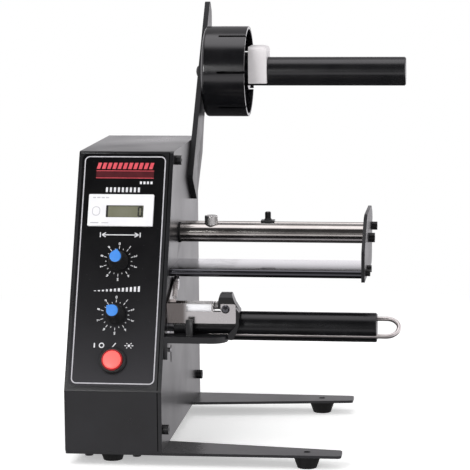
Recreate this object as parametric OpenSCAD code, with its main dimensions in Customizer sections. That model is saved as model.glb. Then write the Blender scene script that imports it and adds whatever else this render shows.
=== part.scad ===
// Desk label dispenser: a slanted control console on a two-legged base plate, with a supply arm,
// a peel plate under two guide bars, and a driven rewind roller on its right-hand wall.
// X runs to the right, Y to the back and Z up. Inside the modules X starts at the console's left
// wall, Y at its upright front and Z on top of the base plate; home() moves all of it to the origin.

/* [Console] */
// Outside width of the console, side plate included
console_w = 70; // [67:0.1:90]
// Height of the console above the base plate
console_h = 207.2; // [200:0.1:230]
// Depth of the console at its foot
console_d = 194; // [185:1:230]
// Height of the upright front below the sloped panel
crease_h = 44; // [40:0.5:48]
// Lean of the sloped panel from upright, in degrees
lean = 24; // [22:0.5:25]
// Thickness of the folded sheet
sheet_t = 1.5; // [1:0.1:2]
// Thickness of the side plate that carries the mechanism
side_t = 3; // [2.5:0.1:4]
// Bend and corner radius of the console
bend_r = 3; // [2:0.1:5]
// Width of the inward flanges at the foot of the sheets
flange_w = 14; // [12:1:20]

/* [Base] */
// Thickness of the base plate
plate_t = 2; // [1.5:0.1:4]
// Reach of the front leg past the side plate
front_reach = 127; // [90:1:150]
// Reach of the rear leg past the side plate
rear_reach = 124; // [90:1:150]
// Width of a leg where it leaves the console
leg_root = 36; // [30:1:50]
// Width of a leg at its tip
leg_tip = 19; // [16:1:30]
// Height of a rubber foot
foot_h = 8.8; // [6:0.1:15]
// Diameter of a foot under the plate
foot_top_d = 20; // [16:0.5:22]
// Diameter of a foot on the table
foot_low_d = 13.8; // [10:0.2:15]
// Distance of a foot's centre from the end of its leg
foot_inset = 24.8; // [14:0.1:40]
// Distance of the console feet from the left wall
foot_left = 30.5; // [25:0.5:38]
// Distance of the foot centres from the front and back edges
foot_edge = 12; // [11:0.5:18]

/* [Face] */
// Width of the printed film on the sloped panel
film_w = 61.6; // [55:0.1:62]
// Length of the printed film
film_l = 173; // [165:0.5:174]
// Thickness of the printed film
film_t = 0.3; // [0.2:0.05:0.5]
// Left edge of the counter, from the left wall
counter_x = 9.6; // [6:0.1:12]
// Lower edge of the counter, up the slope from the crease
counter_v = 121.3; // [118:0.1:126]
// Width of the counter's bezel
counter_w = 48; // [46:0.5:50]
// Height of the counter's bezel
counter_h = 24; // [22:0.5:26]
// Thickness of the counter's bezel
counter_t = 2; // [1.5:0.1:3]
// Width of the counter's window
window_w = 27.5; // [24:0.5:30]
// Height of the counter's window
window_h = 9; // [8:0.1:11]
// Depth of the counter's body behind the film
counter_depth = 34; // [25:1:36]
// Centre line of dials and button, from the left wall
dial_x = 34; // [31:0.1:37]
// Length dial, up the slope from the crease
length_v = 95.3; // [94:0.1:98]
// Speed dial, up the slope from the crease
speed_v = 55.6; // [52:0.1:60]
// Power button, up the slope from the crease
button_v = 22; // [18:0.1:24]
// Diameter of a knob at its foot
knob_foot_d = 14.5; // [13:0.1:16]
// Diameter of a knob at its top
knob_top_d = 10; // [9:0.1:11]
// Height of a knob with its cap, above the film
knob_h = 15; // [13:0.5:18]
// Diameter of a knob's coloured cap
cap_d = 8.2; // [7:0.1:9]
// Diameter of the potentiometer shafts
pot_shaft_d = 6; // [5:0.1:6.4]
// Diameter of the power button
button_d = 15; // [13:0.1:16]
// Diameter of the button's bezel
button_bezel_d = 19.5; // [19:0.1:21]
// Travel of the power button
button_travel = 2.2; // [1.5:0.1:3]

/* [Supply] */
// Thickness of the supply arm
arm_t = 4; // [3:0.1:6]
// Supply shaft, from the console's front
supply_y = 219; // [214:1:224]
// Supply shaft, above the base plate
supply_z = 256; // [253:0.5:260]
// Diameter of the supply shaft
supply_shaft_d = 22.7; // [20:0.1:25.4]
// Length of the supply shaft
supply_shaft_l = 159; // [120:1:180]
// Outside diameter of the supply hub
hub_d = 71.6; // [65:0.1:75]
// Length of the supply hub
hub_l = 34; // [24:1:45]
// Number of leaves on the hub
hub_leaves = 7; // [4:1:8]
// Width of the slots between the leaves
hub_slot = 2; // [1:0.2:5]
// Width of the lock clip along the shaft
clip_l = 14.4; // [10:0.2:24]
// Height of the lock clip above the shaft's axis
clip_top = 20.3; // [16:0.1:24]
// Width of the lock clip across the shaft
clip_w = 28; // [27.5:0.5:34]

/* [Guides] */
// Length of the bars between side plate and end plate
guide_span = 138.7; // [110:0.5:170]
// Thickness of the end plate
end_t = 2.5; // [2:0.1:4]
// Diameter of the thick guide bar
bar_d = 14; // [13:0.1:16]
// Thick bar, from the console's front
bar_y = 95; // [92:1:98]
// Thick bar, above the base plate
bar_z = 144.6; // [143:0.1:147]
// Diameter of the thin rear rod
rod_d = 5; // [4:0.1:6]
// Thin rod, from the console's front
rod_y = 128; // [124:1:130]
// Thin rod, above the base plate
rod_z = 146; // [144:0.1:148]
// Front edge of the peel plate, from the console's front
peel_y = 44; // [43:0.5:48]
// Depth of the peel plate from front to back
peel_d = 49; // [40:1:52]
// Top of the peel plate, above the base plate
peel_z = 125.1; // [124.8:0.1:128]
// Thickness of the peel plate
peel_t = 5.7; // [5:0.1:6]
// Stop screw, from the side plate
stop_x = 24; // [16:0.5:34]
// Diameter of the stop screw's knurled head
stop_d = 9.8; // [8:0.1:11]
// Height of the stop screw's head
stop_h = 9.2; // [7:0.1:12]
// Edge guide at rest, from the side plate
guide_x = 62.8; // [50:0.1:90]

/* [Roller] */
// Diameter of the rewind roller
roller_d = 21; // [20:0.1:21.6]
// Roller axis, from the console's front
roller_y = 40; // [39.5:0.1:41]
// Roller axis, above the base plate
roller_z = 85.2; // [84:0.1:85.5]
// Right end of the roller, from the side plate
roller_end = 150.3; // [130:0.5:170]
// Diameter of the drive shaft
drive_shaft_d = 10; // [8:0.1:10]
// Diameter of the clip's wire
wire_d = 3.2; // [2.6:0.1:3.4]
// Left end of the clip's legs, from the side plate
clip_start = 30.7; // [20:0.5:60]
// Right end of the clip's loop, past the roller's end
clip_loop = 17; // [14:0.5:24]
// Tilt of the clip's plane, front leg down, in degrees
clip_tilt = 34; // [25:1:60]

/* [Drive] */
// Module of the gears
gear_m = 1; // [1:0.05:1.05]
// Teeth of the gear on the roller's shaft
gear_teeth = 30; // [28:1:30]
// Teeth of the motor's pinion
pinion_teeth = 24; // [22:1:26]
// Width of the gears
gear_w = 7; // [5:0.5:8]
// Direction from roller gear to pinion, below level, in degrees
motor_angle = 40; // [35:1:50]
// Diameter of the gear motor's gearbox
gearbox_d = 30; // [26:1:32]
// Outside diameter of the ball bearings
bearing_d = 19; // [18:0.5:20]
// Width of the ball bearings
bearing_w = 5; // [4:0.5:5]

/* [Pinch] */
// Diameter of the pinch roller
pinch_d = 8; // [7:0.1:8.2]
// Length of the pinch roller
pinch_l = 21; // [15:0.5:21.5]
// Length of the pinch bracket, from the side plate
bracket_l = 50.2; // [50:0.1:52]
// Thickness of the bracket's sheet
bracket_t = 1.2; // [1:0.1:1.4]
// Bracket pivot, from the console's front
pivot_y = 61; // [60:0.5:63]
// Bracket pivot, above the base plate
pivot_z = 111.5; // [110:0.5:112]
// Right end of the support tray, from the side plate
tray_l = 44.7; // [40:0.1:44.8]
// Front edge of the support tray, from the console's front
tray_y = 14; // [11:0.5:16]
// Top of the support tray, above the base plate
tray_z = 81; // [79:0.1:81.5]
// Thickness of the support tray
tray_t = 4.5; // [3:0.1:6]
// Number of coils of the pinch spring
spring_coils = 9; // [5:1:10]
// Wire diameter of the pinch spring
spring_wire = 0.8; // [0.6:0.1:0.9]
// Outside diameter of the pinch spring
spring_d = 4; // [3.6:0.1:4.4]

/* [Clearances] */
// Radial gap of a shaft that turns or slides in its hole
run_gap = 0.05; // [0.02:0.01:0.08]
// Gap around parts that slide or pass each other
slip_gap = 0.3; // [0.2:0.05:0.5]
// Radial gap of a screw in its clearance hole
screw_gap = 0.2; // [0.1:0.05:0.4]
// Backlash between the gears
backlash = 0.25; // [0.15:0.05:0.4]

/* [Hidden] */
$fn = 64;

// Console
inner_x = console_w - side_t;
top_y = (console_h - crease_h) * tan(lean);
panel_l = (console_h - crease_h) / cos(lean);
panel_under = sheet_t;
floor_z = -plate_t - foot_h;
leg_taper = 2;
front_tip = console_w + front_reach;
rear_tip = console_w + rear_reach;

// Screws: shank and head radii, and head heights
m4_r = 2;
m4_head_r = 3.5;
m4_head_h = 4.3;
m3_r = 1.5;
m3_head_r = 2.5;
m3_head_h = 3.2;
stud_r = 3;
lug_l = 12;
lug_w = 10;

// Places of the three screws of the side plate, each [y, z]; the arm's upper screw is the fourth
front_screw = [5.7, 15.7];
crown_screw = [top_y + 9.3, console_h - 7.2];
rear_screw = [console_d - 17, 18.6];
side_screw_list = [front_screw, crown_screw, rear_screw];
arm_crown_screw = [console_d - 15.5, console_h - 7.6];

// Face
film_x = console_w / 2 - side_t / 2 - film_w / 2;
film_v = (panel_l - film_l) / 2 + 0.8;
cutout_w = 45;
cutout_h = 22.2;
cutout_r = 0.8;
body_slack = 0.2;
window_x = counter_x + 13.2;
window_v = counter_v + 6.6;
pot_d = 16.5;
pot_depth = 9;
bush_d = 7;
nut_d = 11;
nut_h = 2;
bush_top = 4.5;
knob_lift = 0.6;
knob_bore_top = 3;
cap_t = 1.4;
button_rise = 5.2;
button_depth = 8;
barrel_d = 18;
barrel_depth = 20;
bezel_rise = 3;

// Supply
hub_x = console_w + arm_t + 0.6;
supply_x = console_w + arm_t;
hub_core_t = 3;
leaf_t = 2.6;
spoke_t = 2.4;
slot_turn = 177.8; // degrees from the back to the slot that faces the front at rest
slot_start = 12.5;
web_t = 3;
hub_round = 2.5;
clip_x = hub_x + hub_l + 0.8;
clip_low = 9;
clip_round = 4;
arm_screw_list = [
  [arm_crown_screw[0], arm_crown_screw[1], m3_r, 3.2],
  [arm_crown_screw[0] - 11.3, arm_crown_screw[1] - 9.4, m4_r, 4.8]];
arm_screw_l = 10;

// Guides
end_x = console_w + guide_span;
bar_screw_z = bar_z - 2.7;
washer_t = 1.3;
washer_lip = 0.6;
stop_seat = 3.4;
stop_shank_r = 2;
stop_shank_l = 7;
guide_w = 10;
guide_h = 7.6;
guide_pin_d = 4.6;
guide_rise = 6.6;
peel_low = peel_z - peel_t;
peel_nose = 2.4;
peel_screws = [[peel_y + 11, peel_z - peel_t / 2], [peel_y + 29, peel_z - peel_t / 2]];

// Roller and drive
roller_r = roller_d / 2;
roller_x = console_w + 4.7;
roller_end_x = console_w + roller_end;
shaft_r = drive_shaft_d / 2;
shaft_depth = 100;
groove_r = wire_d / 2 + slip_gap / 2;
wire_rho = roller_r - wire_d / 2;
clip_start_x = console_w + clip_start;
bend_x = roller_end_x + clip_loop - wire_rho - wire_d / 2;
gear_x1 = inner_x - 5.3;
gear_x0 = gear_x1 - gear_w;
gear_gap = gear_m * (gear_teeth + pinion_teeth) / 2;
motor_y = roller_y + gear_gap * cos(motor_angle);
motor_z = roller_z - gear_gap * sin(motor_angle);
plate_x1 = gear_x0 - 5;
motor_plate_t = 3;
plate_x0 = plate_x1 - motor_plate_t;
bearing_lip = 1;
housing_r = bearing_d / 2 + 1.6;
motor_shaft_r = 2.5;
motor_l = 18;
can_l = 22;
stud_list = [
  [roller_y - 6, motor_z - 18], [motor_y + 19, motor_z - 18], [motor_y + 19, roller_z + 13],
  [roller_y + 18, roller_z + 13]];

// Pinch mechanism
nip_angle = 60;
nip_gap = 0.1;
pinch_r = pinch_d / 2;
pinch_rho = roller_r + pinch_r + nip_gap;
pinch_y = roller_y - pinch_rho * cos(nip_angle);
pinch_z = roller_z + pinch_rho * sin(nip_angle);
axle_r = 2;
front_wall_y = pinch_y - pinch_r - 0.7;
wall_low = 88.8;
wall_top = 103;
notch_z = 97.3;
notch_x0 = console_w + 14.6;
notch_x1 = console_w + 39.4;
rear_wall_y = front_wall_y + 10;
rear_wall_low = roller_z + roller_r + 1.5;
cheek_x = console_w + 0.5;
inner_cheek_x = console_w + 32.7;
bracket_x1 = console_w + bracket_l;
pivot_r = 3;
boss_r = 5;
latch_x = console_w + 42.9;
latch_z = roller_z + roller_r + 3.6;
latch_pin_r = 2;
latch_y0 = front_wall_y + slip_gap;
latch_y1 = rear_wall_y - slip_gap;
hook_x0 = bracket_x1 + 0.6;
hook_x1 = hook_x0 + 2.2;
hook_y0 = front_wall_y - 6;
hook_y1 = front_wall_y - 0.1;
tray_x1 = console_w + tray_l;
tray_depth = 14.5;
tray_round = 11;
lug_low = [pinch_y + 2.8, pinch_z + 5.6];
lug_high = [peel_y + 6, peel_low - 1.4];
spring_x = console_w + 4.5;
spring_lug = 3.6;
spring_angle = atan2(lug_high[1] - lug_low[1], lug_high[0] - lug_low[0]);
spring_l = norm(lug_high - lug_low) - 2 * 0.05;

// Middle of the space that the machine takes, which home() puts over the origin
clip_end_x = roller_end_x + clip_loop;
arm_tip_y = supply_y + 37.5;
mid_x = clip_end_x / 2;
mid_y = arm_tip_y / 2;

// A corner of an outline, rounded as an arc of n steps
function corner_arc(a, b, c, r, n = 8) =
  let (
    u = (a - b) / norm(a - b),
    v = (c - b) / norm(c - b),
    half = acos(u * v) / 2,
    start = b + u * r / tan(half),
    finish = b + v * r / tan(half),
    centre = b + (u + v) / norm(u + v) * r / sin(half),
    a0 = atan2(start[1] - centre[1], start[0] - centre[0]),
    a1 = atan2(finish[1] - centre[1], finish[0] - centre[0]),
    sweep = (a1 - a0 + 540) % 360 - 180)
  [for (i = [0:n]) let (t = a0 + sweep * i / n) centre + r * [cos(t), sin(t)]];

// An outline given as [x, y, corner radius] points
function rounded(pts) =
  let (n = len(pts))
  [for (i = [0:n - 1])
    let (p = pts[i], a = pts[(i + n - 1) % n], c = pts[(i + 1) % n])
    each (p[2] > 0
      ? corner_arc([a[0], a[1]], [p[0], p[1]], [c[0], c[1]], p[2])
      : [[p[0], p[1]]])];

function slope_y(z) = (z - crease_h) * tan(lean);

module home() {
  translate([-mid_x, -mid_y, -floor_z]) children();
}

// Outlines drawn as (y, z), extruded to the right from x0 to x1
module on_side(x0, x1) {
  translate([x0, 0, 0]) rotate([90, 0, 90]) linear_extrude(x1 - x0) children();
}

// Outlines drawn as (x, z), extruded to the back from y0 to y1
module on_front(y0, y1) {
  translate([0, y1, 0]) rotate([90, 0, 0]) linear_extrude(y1 - y0) children();
}

// The sloped panel's own axes: x to the right, y up the slope, z out of its face
module on_panel(x = 0, v = 0, n = 0) {
  translate([0, 0, crease_h]) rotate([90 - lean, 0, 0]) translate([x, v, n]) children();
}

// A round bar along X at (y, z)
module bar_x(y, z, x0, x1, r) {
  translate([x0, y, z]) rotate([0, 90, 0]) cylinder(r = r, h = x1 - x0);
}

// A round bar along Y at (x, z)
module bar_y_axis(x, z, y0, y1, r) {
  translate([x, y0, z]) rotate([-90, 0, 0]) cylinder(r = r, h = y1 - y0);
}

// A cap screw along X: its head stands on x, outwards along dir, and its shank goes back
module cap_screw(x, y, z, dir, r, head_r, head_h, shank_l) {
  socket_r = r * 0.8;
  socket_h = head_h * 0.5;
  translate([x, y, z]) rotate([0, 90 * dir, 0]) difference() {
    union() {
      translate([0, 0, -shank_l]) cylinder(r = r, h = shank_l);
      cylinder(r = head_r, h = head_h);
    }
    translate([0, 0, head_h - socket_h]) cylinder(r = socket_r, h = socket_h + 1, $fn = 6);
  }
}

module console_outline() {
  polygon(rounded([
    [0, 0, 0], [0, crease_h, bend_r], [top_y, console_h, bend_r],
    [console_d, console_h, bend_r], [console_d, 0, 0]]));
}

// ---- Base ----

foot_list = [
  [foot_left, foot_edge + 10], [foot_left, console_d - foot_edge - 10],
  [front_tip - foot_inset, foot_edge], [rear_tip - foot_inset, console_d - foot_edge]];
base_screw_x = [16, 50.7];
base_screw_list = [for (x = base_screw_x, y = [flange_w / 2, console_d - flange_w / 2]) [x, y]];
stem_r = 2.5;

module base_plate() {
  color([0.16, 0.16, 0.17]) home() translate([0, 0, -plate_t]) difference() {
    linear_extrude(plate_t) polygon(rounded([
      [0, 0, 1.5], [console_w, 0, 0], [front_tip, leg_taper, 3], [front_tip, leg_tip, 3],
      [inner_x, leg_root, 3], [inner_x, console_d - leg_root, 3],
      [rear_tip, console_d - leg_tip, 3], [rear_tip, console_d - leg_taper, 3],
      [console_w, console_d, 0], [0, console_d, 1.5]]));
    for (p = foot_list)
      translate([p[0], p[1], -1]) cylinder(r = stem_r, h = plate_t + 2);
    for (p = base_screw_list)
      translate([p[0], p[1], -1]) cylinder(r = m3_r + screw_gap, h = plate_t + 2);
  }
}

module feet() {
  color([0.07, 0.07, 0.07]) home()
    for (p = foot_list) translate([p[0], p[1], floor_z]) {
      cylinder(r1 = foot_low_d / 2, r2 = foot_top_d / 2, h = foot_h);
      cylinder(r = stem_r, h = foot_h + plate_t - 0.4);
    }
}

module base_screws() {
  color([0.12, 0.12, 0.12]) home()
    for (p = base_screw_list) translate([p[0], p[1], -plate_t]) {
      translate([0, 0, -2.4]) cylinder(r = 3, h = 2.4);
      cylinder(r = m3_r, h = plate_t + sheet_t + 3);
    }
}

// ---- Console ----

module front_panel() {
  t = sheet_t;
  lip = slope_y(console_h - t);
  inner_lip = lip + t / cos(lean);
  color([0.08, 0.08, 0.09]) home() difference() {
    on_side(t, inner_x) polygon(rounded([
      [0, 0, 0], [0, crease_h, bend_r], [lip, console_h - t, 0], [inner_lip, console_h - t, 0],
      [t, crease_h - t * tan(lean / 2), bend_r - t], [t, t, 0], [flange_w, t, 0],
      [flange_w, 0, 0]]));
    on_panel(counter_x + counter_w / 2, counter_v + counter_h / 2, -2 * t) counter_cutout(4 * t);
    for (v = [length_v, speed_v])
      on_panel(dial_x, v, -2 * t) cylinder(r = bush_d / 2 + screw_gap, h = 4 * t);
    on_panel(dial_x, button_v, -2 * t) cylinder(r = barrel_d / 2 + screw_gap, h = 4 * t);
    for (p = base_screw_list)
      translate([p[0], p[1], -1]) cylinder(r = m3_r, h = t + 2);
  }
}

module counter_cutout(h) {
  linear_extrude(h) square([cutout_w, cutout_h], center = true);
}

inlet_x = 44;
inlet_z = 34;
inlet_w = 28;
inlet_h = 20;
inlet_depth = 22;
inlet_flange_t = 2;
inlet_rim = 3;
fuse_x = 18;
fuse_z = 34;
fuse_r = 7;
vent_list = [for (i = [0:6]) 96 + 9 * i];

module cover() {
  t = sheet_t;
  color([0.1, 0.1, 0.11]) home() difference() {
    union() {
      on_side(0, t) console_outline();
      on_side(t, inner_x) polygon(rounded([
        [slope_y(console_h - t), console_h - t, 0], [top_y, console_h, bend_r * 0.4],
        [console_d, console_h, bend_r], [console_d, 0, 0], [console_d - flange_w, 0, 0],
        [console_d - flange_w, t, 0], [console_d - t, t, 0],
        [console_d - t, console_h - t, bend_r - t]]));
    }
    translate([inlet_x - inlet_w / 2, console_d - 2 * t, inlet_z - inlet_h / 2])
      cube([inlet_w, 4 * t, inlet_h]);
    bar_y_axis(fuse_x, fuse_z, console_d - 2 * t, console_d + t, fuse_r);
    for (z = vent_list)
      translate([14, console_d - 2 * t, z]) cube([inner_x - 28, 4 * t, 3]);
    for (p = base_screw_list)
      translate([p[0], p[1], -1]) cylinder(r = m3_r, h = t + 2);
  }
}

module side_plate() {
  color([0.1, 0.1, 0.11]) home() difference() {
    on_side(inner_x, console_w) console_outline();
    bar_x(roller_y, roller_z, inner_x - 1, console_w + 1, housing_r);
    for (s = side_screw_list)
      bar_x(s[0], s[1], inner_x - 1, console_w + 1, m4_r + screw_gap);
    for (s = arm_screw_list) bar_x(s[0], s[1], inner_x - 1, console_w + 1, s[2]);
    for (s = inner_screw_list) bar_x(s[0], s[1], inner_x - 1, console_w + 1, s[2] + screw_gap);
    bar_x(pivot_y, pivot_z, inner_x - 1, console_w + 1, pivot_r);
    on_side(inner_x - 1, console_w + 1) polygon(rounded([
      [44.5, 56, 1.9], [48.5, 56, 1.9], [48.5, 69, 1.9], [44.5, 69, 1.9]]));
  }
}

// Threaded lugs on the sheets, for the screws of the side plate: [y0, y1, z0, z1, screw, radius]
lug_list = [
  [sheet_t, 2 * front_screw[0] - sheet_t, front_screw[1] - lug_w / 2, front_screw[1] + lug_w / 2,
    front_screw, m4_r],
  [crown_screw[0] - lug_w / 2, crown_screw[0] + lug_w / 2,
    2 * crown_screw[1] - console_h + sheet_t, console_h - sheet_t, crown_screw, m4_r],
  [rear_screw[0] - lug_w / 2, console_d - sheet_t, rear_screw[1] - lug_w / 2,
    rear_screw[1] + lug_w / 2, rear_screw, m4_r],
  [arm_crown_screw[0] - lug_w / 2, console_d - sheet_t - 2,
    2 * arm_crown_screw[1] - console_h + sheet_t, console_h - sheet_t, arm_crown_screw, m3_r]];

module screw_lugs() {
  color([0.6, 0.6, 0.62]) home() for (g = lug_list) difference() {
    translate([inner_x - lug_l, g[0], g[2]]) cube([lug_l, g[1] - g[0], g[3] - g[2]]);
    bar_x(g[4][0], g[4][1], inner_x - lug_l - 1, console_w, g[5]);
  }
}

module side_screws() {
  color([0.09, 0.09, 0.09]) home()
    for (s = side_screw_list)
      cap_screw(console_w, s[0], s[1], 1, m4_r, m4_head_r, m4_head_h, side_t + 8);
}

// ---- Face ----

module face_film() {
  color([0.05, 0.05, 0.06]) home() difference() {
    on_panel(film_x, film_v, 0) linear_extrude(film_t)
      polygon(rounded([[0, 0, 4], [film_w, 0, 4], [film_w, film_l, 4], [0, film_l, 4]]));
    on_panel(counter_x + counter_w / 2, counter_v + counter_h / 2, -1) counter_cutout(2);
    for (v = [length_v, speed_v])
      on_panel(dial_x, v, -1) cylinder(r = bush_d / 2 + screw_gap, h = 2);
    on_panel(dial_x, button_v, -1) cylinder(r = barrel_d / 2 + screw_gap, h = 2);
  }
}

module counter_bezel() {
  color([0.9, 0.9, 0.91]) home() difference() {
    on_panel(counter_x, counter_v, film_t) linear_extrude(counter_t) polygon(rounded([
      [0, 0, cutout_r], [counter_w, 0, cutout_r], [counter_w, counter_h, cutout_r],
      [0, counter_h, cutout_r]]));
    on_panel(window_x, window_v, -1) cube([window_w, window_h, counter_t + 3]);
  }
}

module counter_window() {
  color([0.45, 0.46, 0.38]) home()
    on_panel(window_x, window_v, film_t) cube([window_w, window_h, counter_t - 0.6]);
}

module counter_body() {
  w = cutout_w - 2 * body_slack;
  h = cutout_h - 2 * body_slack;
  color([0.8, 0.8, 0.8]) home()
    on_panel(counter_x + (counter_w - w) / 2, counter_v + (counter_h - h) / 2,
             film_t - counter_depth)
      cube([w, h, counter_depth]);
}

// A potentiometer behind the panel, with its threaded bush and nut in front
module pot(v) {
  color([0.55, 0.5, 0.3]) home() difference() {
    union() {
      on_panel(dial_x, v, -panel_under - pot_depth) cylinder(r = pot_d / 2, h = pot_depth);
      on_panel(dial_x, v, -panel_under) cylinder(r = bush_d / 2, h = panel_under + bush_top);
      on_panel(dial_x, v, film_t) cylinder(r = nut_d / 2, h = nut_h, $fn = 6);
    }
    on_panel(dial_x, v, -panel_under - pot_depth + 2)
      cylinder(r = pot_shaft_d / 2 + run_gap, h = pot_depth + panel_under + bush_top);
  }
}

module pot_shaft(v) {
  foot = -panel_under - pot_depth + 2 + slip_gap;
  top = film_t + knob_h - knob_bore_top;
  color([0.75, 0.75, 0.76]) home()
    on_panel(dial_x, v, foot) cylinder(r = pot_shaft_d / 2, h = top - foot);
}

module knob(v) {
  foot = film_t + knob_lift;
  top = film_t + knob_h - cap_t / 2;
  recess = film_t + bush_top + slip_gap;
  color([0.05, 0.05, 0.05]) home() difference() {
    on_panel(dial_x, v, foot) rotate_extrude() polygon([
      [0, 0], [knob_foot_d / 2, 0], [knob_foot_d / 2 - 0.3, 2], [knob_top_d / 2, top - foot - 0.6],
      [knob_top_d / 2 - 0.6, top - foot], [0, top - foot]]);
    on_panel(dial_x, v, foot - 1) cylinder(r = nut_d / 2 + slip_gap, h = recess - foot + 1);
    on_panel(dial_x, v, 0) cylinder(r = pot_shaft_d / 2, h = film_t + knob_h - knob_bore_top);
    on_panel(dial_x, v, top - cap_t / 2) cylinder(r = cap_d / 2, h = cap_t);
  }
}

// The coloured disc in the knob's top
module knob_cap(v) {
  foot = film_t + knob_h - cap_t;
  color([0.25, 0.55, 0.9]) home() on_panel(dial_x, v, foot) cylinder(r = cap_d / 2, h = cap_t);
}

module length_pot() { pot(length_v); }
module length_shaft() { pot_shaft(length_v); }
module length_knob() { knob(length_v); }
module length_cap() { knob_cap(length_v); }
module speed_pot() { pot(speed_v); }
module speed_shaft() { pot_shaft(speed_v); }
module speed_knob() { knob(speed_v); }
module speed_cap() { knob_cap(speed_v); }

module button_bezel() {
  bore = button_d / 2 + slip_gap / 2;
  color([0.06, 0.06, 0.06]) home() difference() {
    union() {
      on_panel(dial_x, button_v, film_t) rotate_extrude() polygon([
        [bore - 1, 0], [button_bezel_d / 2, 0], [button_bezel_d / 2, bezel_rise - 1.2],
        [button_bezel_d / 2 - 1, bezel_rise], [bore - 1, bezel_rise]]);
      on_panel(dial_x, button_v, film_t - barrel_depth) cylinder(r = barrel_d / 2, h = barrel_depth);
    }
    on_panel(dial_x, button_v, film_t - button_depth - button_travel - 0.6)
      cylinder(r = bore, h = button_depth + button_travel + bezel_rise + 2);
  }
}

module power_button() {
  r = button_d / 2;
  color([0.9, 0.25, 0.25]) home()
    on_panel(dial_x, button_v, film_t - button_depth) rotate_extrude() polygon([
      [0, 0], [r, 0], [r, button_depth + button_rise - 1], [r - 1, button_depth + button_rise],
      [0, button_depth + button_rise]]);
}

// ---- Electronics ----

board_x = sheet_t + 6;
board_y = 102;
board_z = 60;
board_w = 62;
board_h = 88;
board_studs = [for (y = [5, board_w - 5], z = [5, board_h - 5]) [board_y + y, board_z + z]];

module control_board() {
  color([0.1, 0.4, 0.2]) home() {
    translate([board_x, board_y, board_z]) cube([1.6, board_w, board_h]);
    translate([board_x + 1.6, board_y + 8, board_z + 60]) cube([9, 22, 12]);
    translate([board_x + 1.6, board_y + 38, board_z + 58]) cube([7, 14, 18]);
    translate([board_x + 1.6, board_y + 12, board_z + 36]) cube([4, 30, 10]);
    for (i = [0:2]) bar_x(board_y + 14 + 16 * i, board_z + 18, board_x + 1.6, board_x + 18, 5);
  }
}

transformer_size = [40, 44, 34];
transformer_pos = [13, 118, 0];

module transformer() {
  color([0.35, 0.32, 0.3]) home() translate(transformer_pos) {
    cube(transformer_size);
    translate([4, -6, 6]) cube([transformer_size[0] - 8, transformer_size[1] + 12, 22]);
    translate([0, -8, 0]) cube([transformer_size[0], transformer_size[1] + 16, 1.5]);
  }
}

module power_inlet() {
  pin_l = 14;
  color([0.07, 0.07, 0.07]) home() {
    difference() {
      union() {
        translate([inlet_x - inlet_w / 2 + slip_gap / 2, console_d - inlet_depth + inlet_flange_t,
                   inlet_z - inlet_h / 2 + slip_gap / 2])
          cube([inlet_w - slip_gap, inlet_depth, inlet_h - slip_gap]);
        translate([inlet_x - inlet_w / 2 - inlet_rim, console_d,
                   inlet_z - inlet_h / 2 - inlet_rim])
          cube([inlet_w + 2 * inlet_rim, inlet_flange_t, inlet_h + 2 * inlet_rim]);
      }
      translate([inlet_x - 12.2, console_d - 15, inlet_z - 8]) cube([24.4, 20, 16]);
    }
    for (x = [-7, 0, 7])
      translate([inlet_x + x - 1, console_d - 15.5, inlet_z - 2 + (x == 0 ? 3 : -1)])
        cube([2, pin_l, 4]);
  }
}

module fuse_holder() {
  color([0.07, 0.07, 0.07]) home() difference() {
    union() {
      bar_y_axis(fuse_x, fuse_z, console_d - 24, console_d, fuse_r - screw_gap);
      bar_y_axis(fuse_x, fuse_z, console_d, console_d + 4, fuse_r + 2);
    }
    translate([fuse_x - 5, console_d + 2.8, fuse_z - 0.8]) cube([10, 2, 1.6]);
  }
}

// ---- Drive ----

module gear_motor() {
  can_r = gearbox_d / 2 - 2;
  color([0.7, 0.7, 0.72]) home() difference() {
    union() {
      bar_x(motor_y, motor_z, plate_x0 - motor_l, plate_x0, gearbox_d / 2);
      bar_x(motor_y, motor_z, plate_x0 - motor_l - can_l, plate_x0 - motor_l, can_r);
      bar_x(motor_y, motor_z, plate_x0, plate_x1 + 0.5, 5);
    }
    bar_x(motor_y, motor_z, plate_x0 - 10, plate_x1 + 2, motor_shaft_r + run_gap);
  }
}

module motor_plate() {
  color([0.6, 0.6, 0.62]) home() difference() {
    union() {
      on_side(plate_x0, plate_x1) polygon(rounded([
        [roller_y - 11, motor_z - 22, 4], [motor_y + 23, motor_z - 22, 4],
        [motor_y + 23, roller_z + 17, 4], [roller_y + 12, roller_z + 17, 3],
        [roller_y - 11, roller_z + 7, 3]]));
      bar_x(roller_y, roller_z, plate_x1 - bearing_w - bearing_lip, plate_x1,
            bearing_d / 2 + 2);
    }
    bar_x(roller_y, roller_z, plate_x1 - bearing_w, plate_x1 + 1, bearing_d / 2);
    bar_x(roller_y, roller_z, plate_x1 - bearing_w - 3, plate_x1, shaft_r + 1.5);
    bar_x(motor_y, motor_z, plate_x0 - 1, plate_x1 + 1, 5 + screw_gap);
  }
}

module spacers() {
  color([0.75, 0.75, 0.76]) home() {
    for (s = stud_list) bar_x(s[0], s[1], plate_x1, inner_x, stud_r);
    for (s = board_studs) bar_x(s[0], s[1], sheet_t, board_x, stud_r);
  }
}

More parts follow.
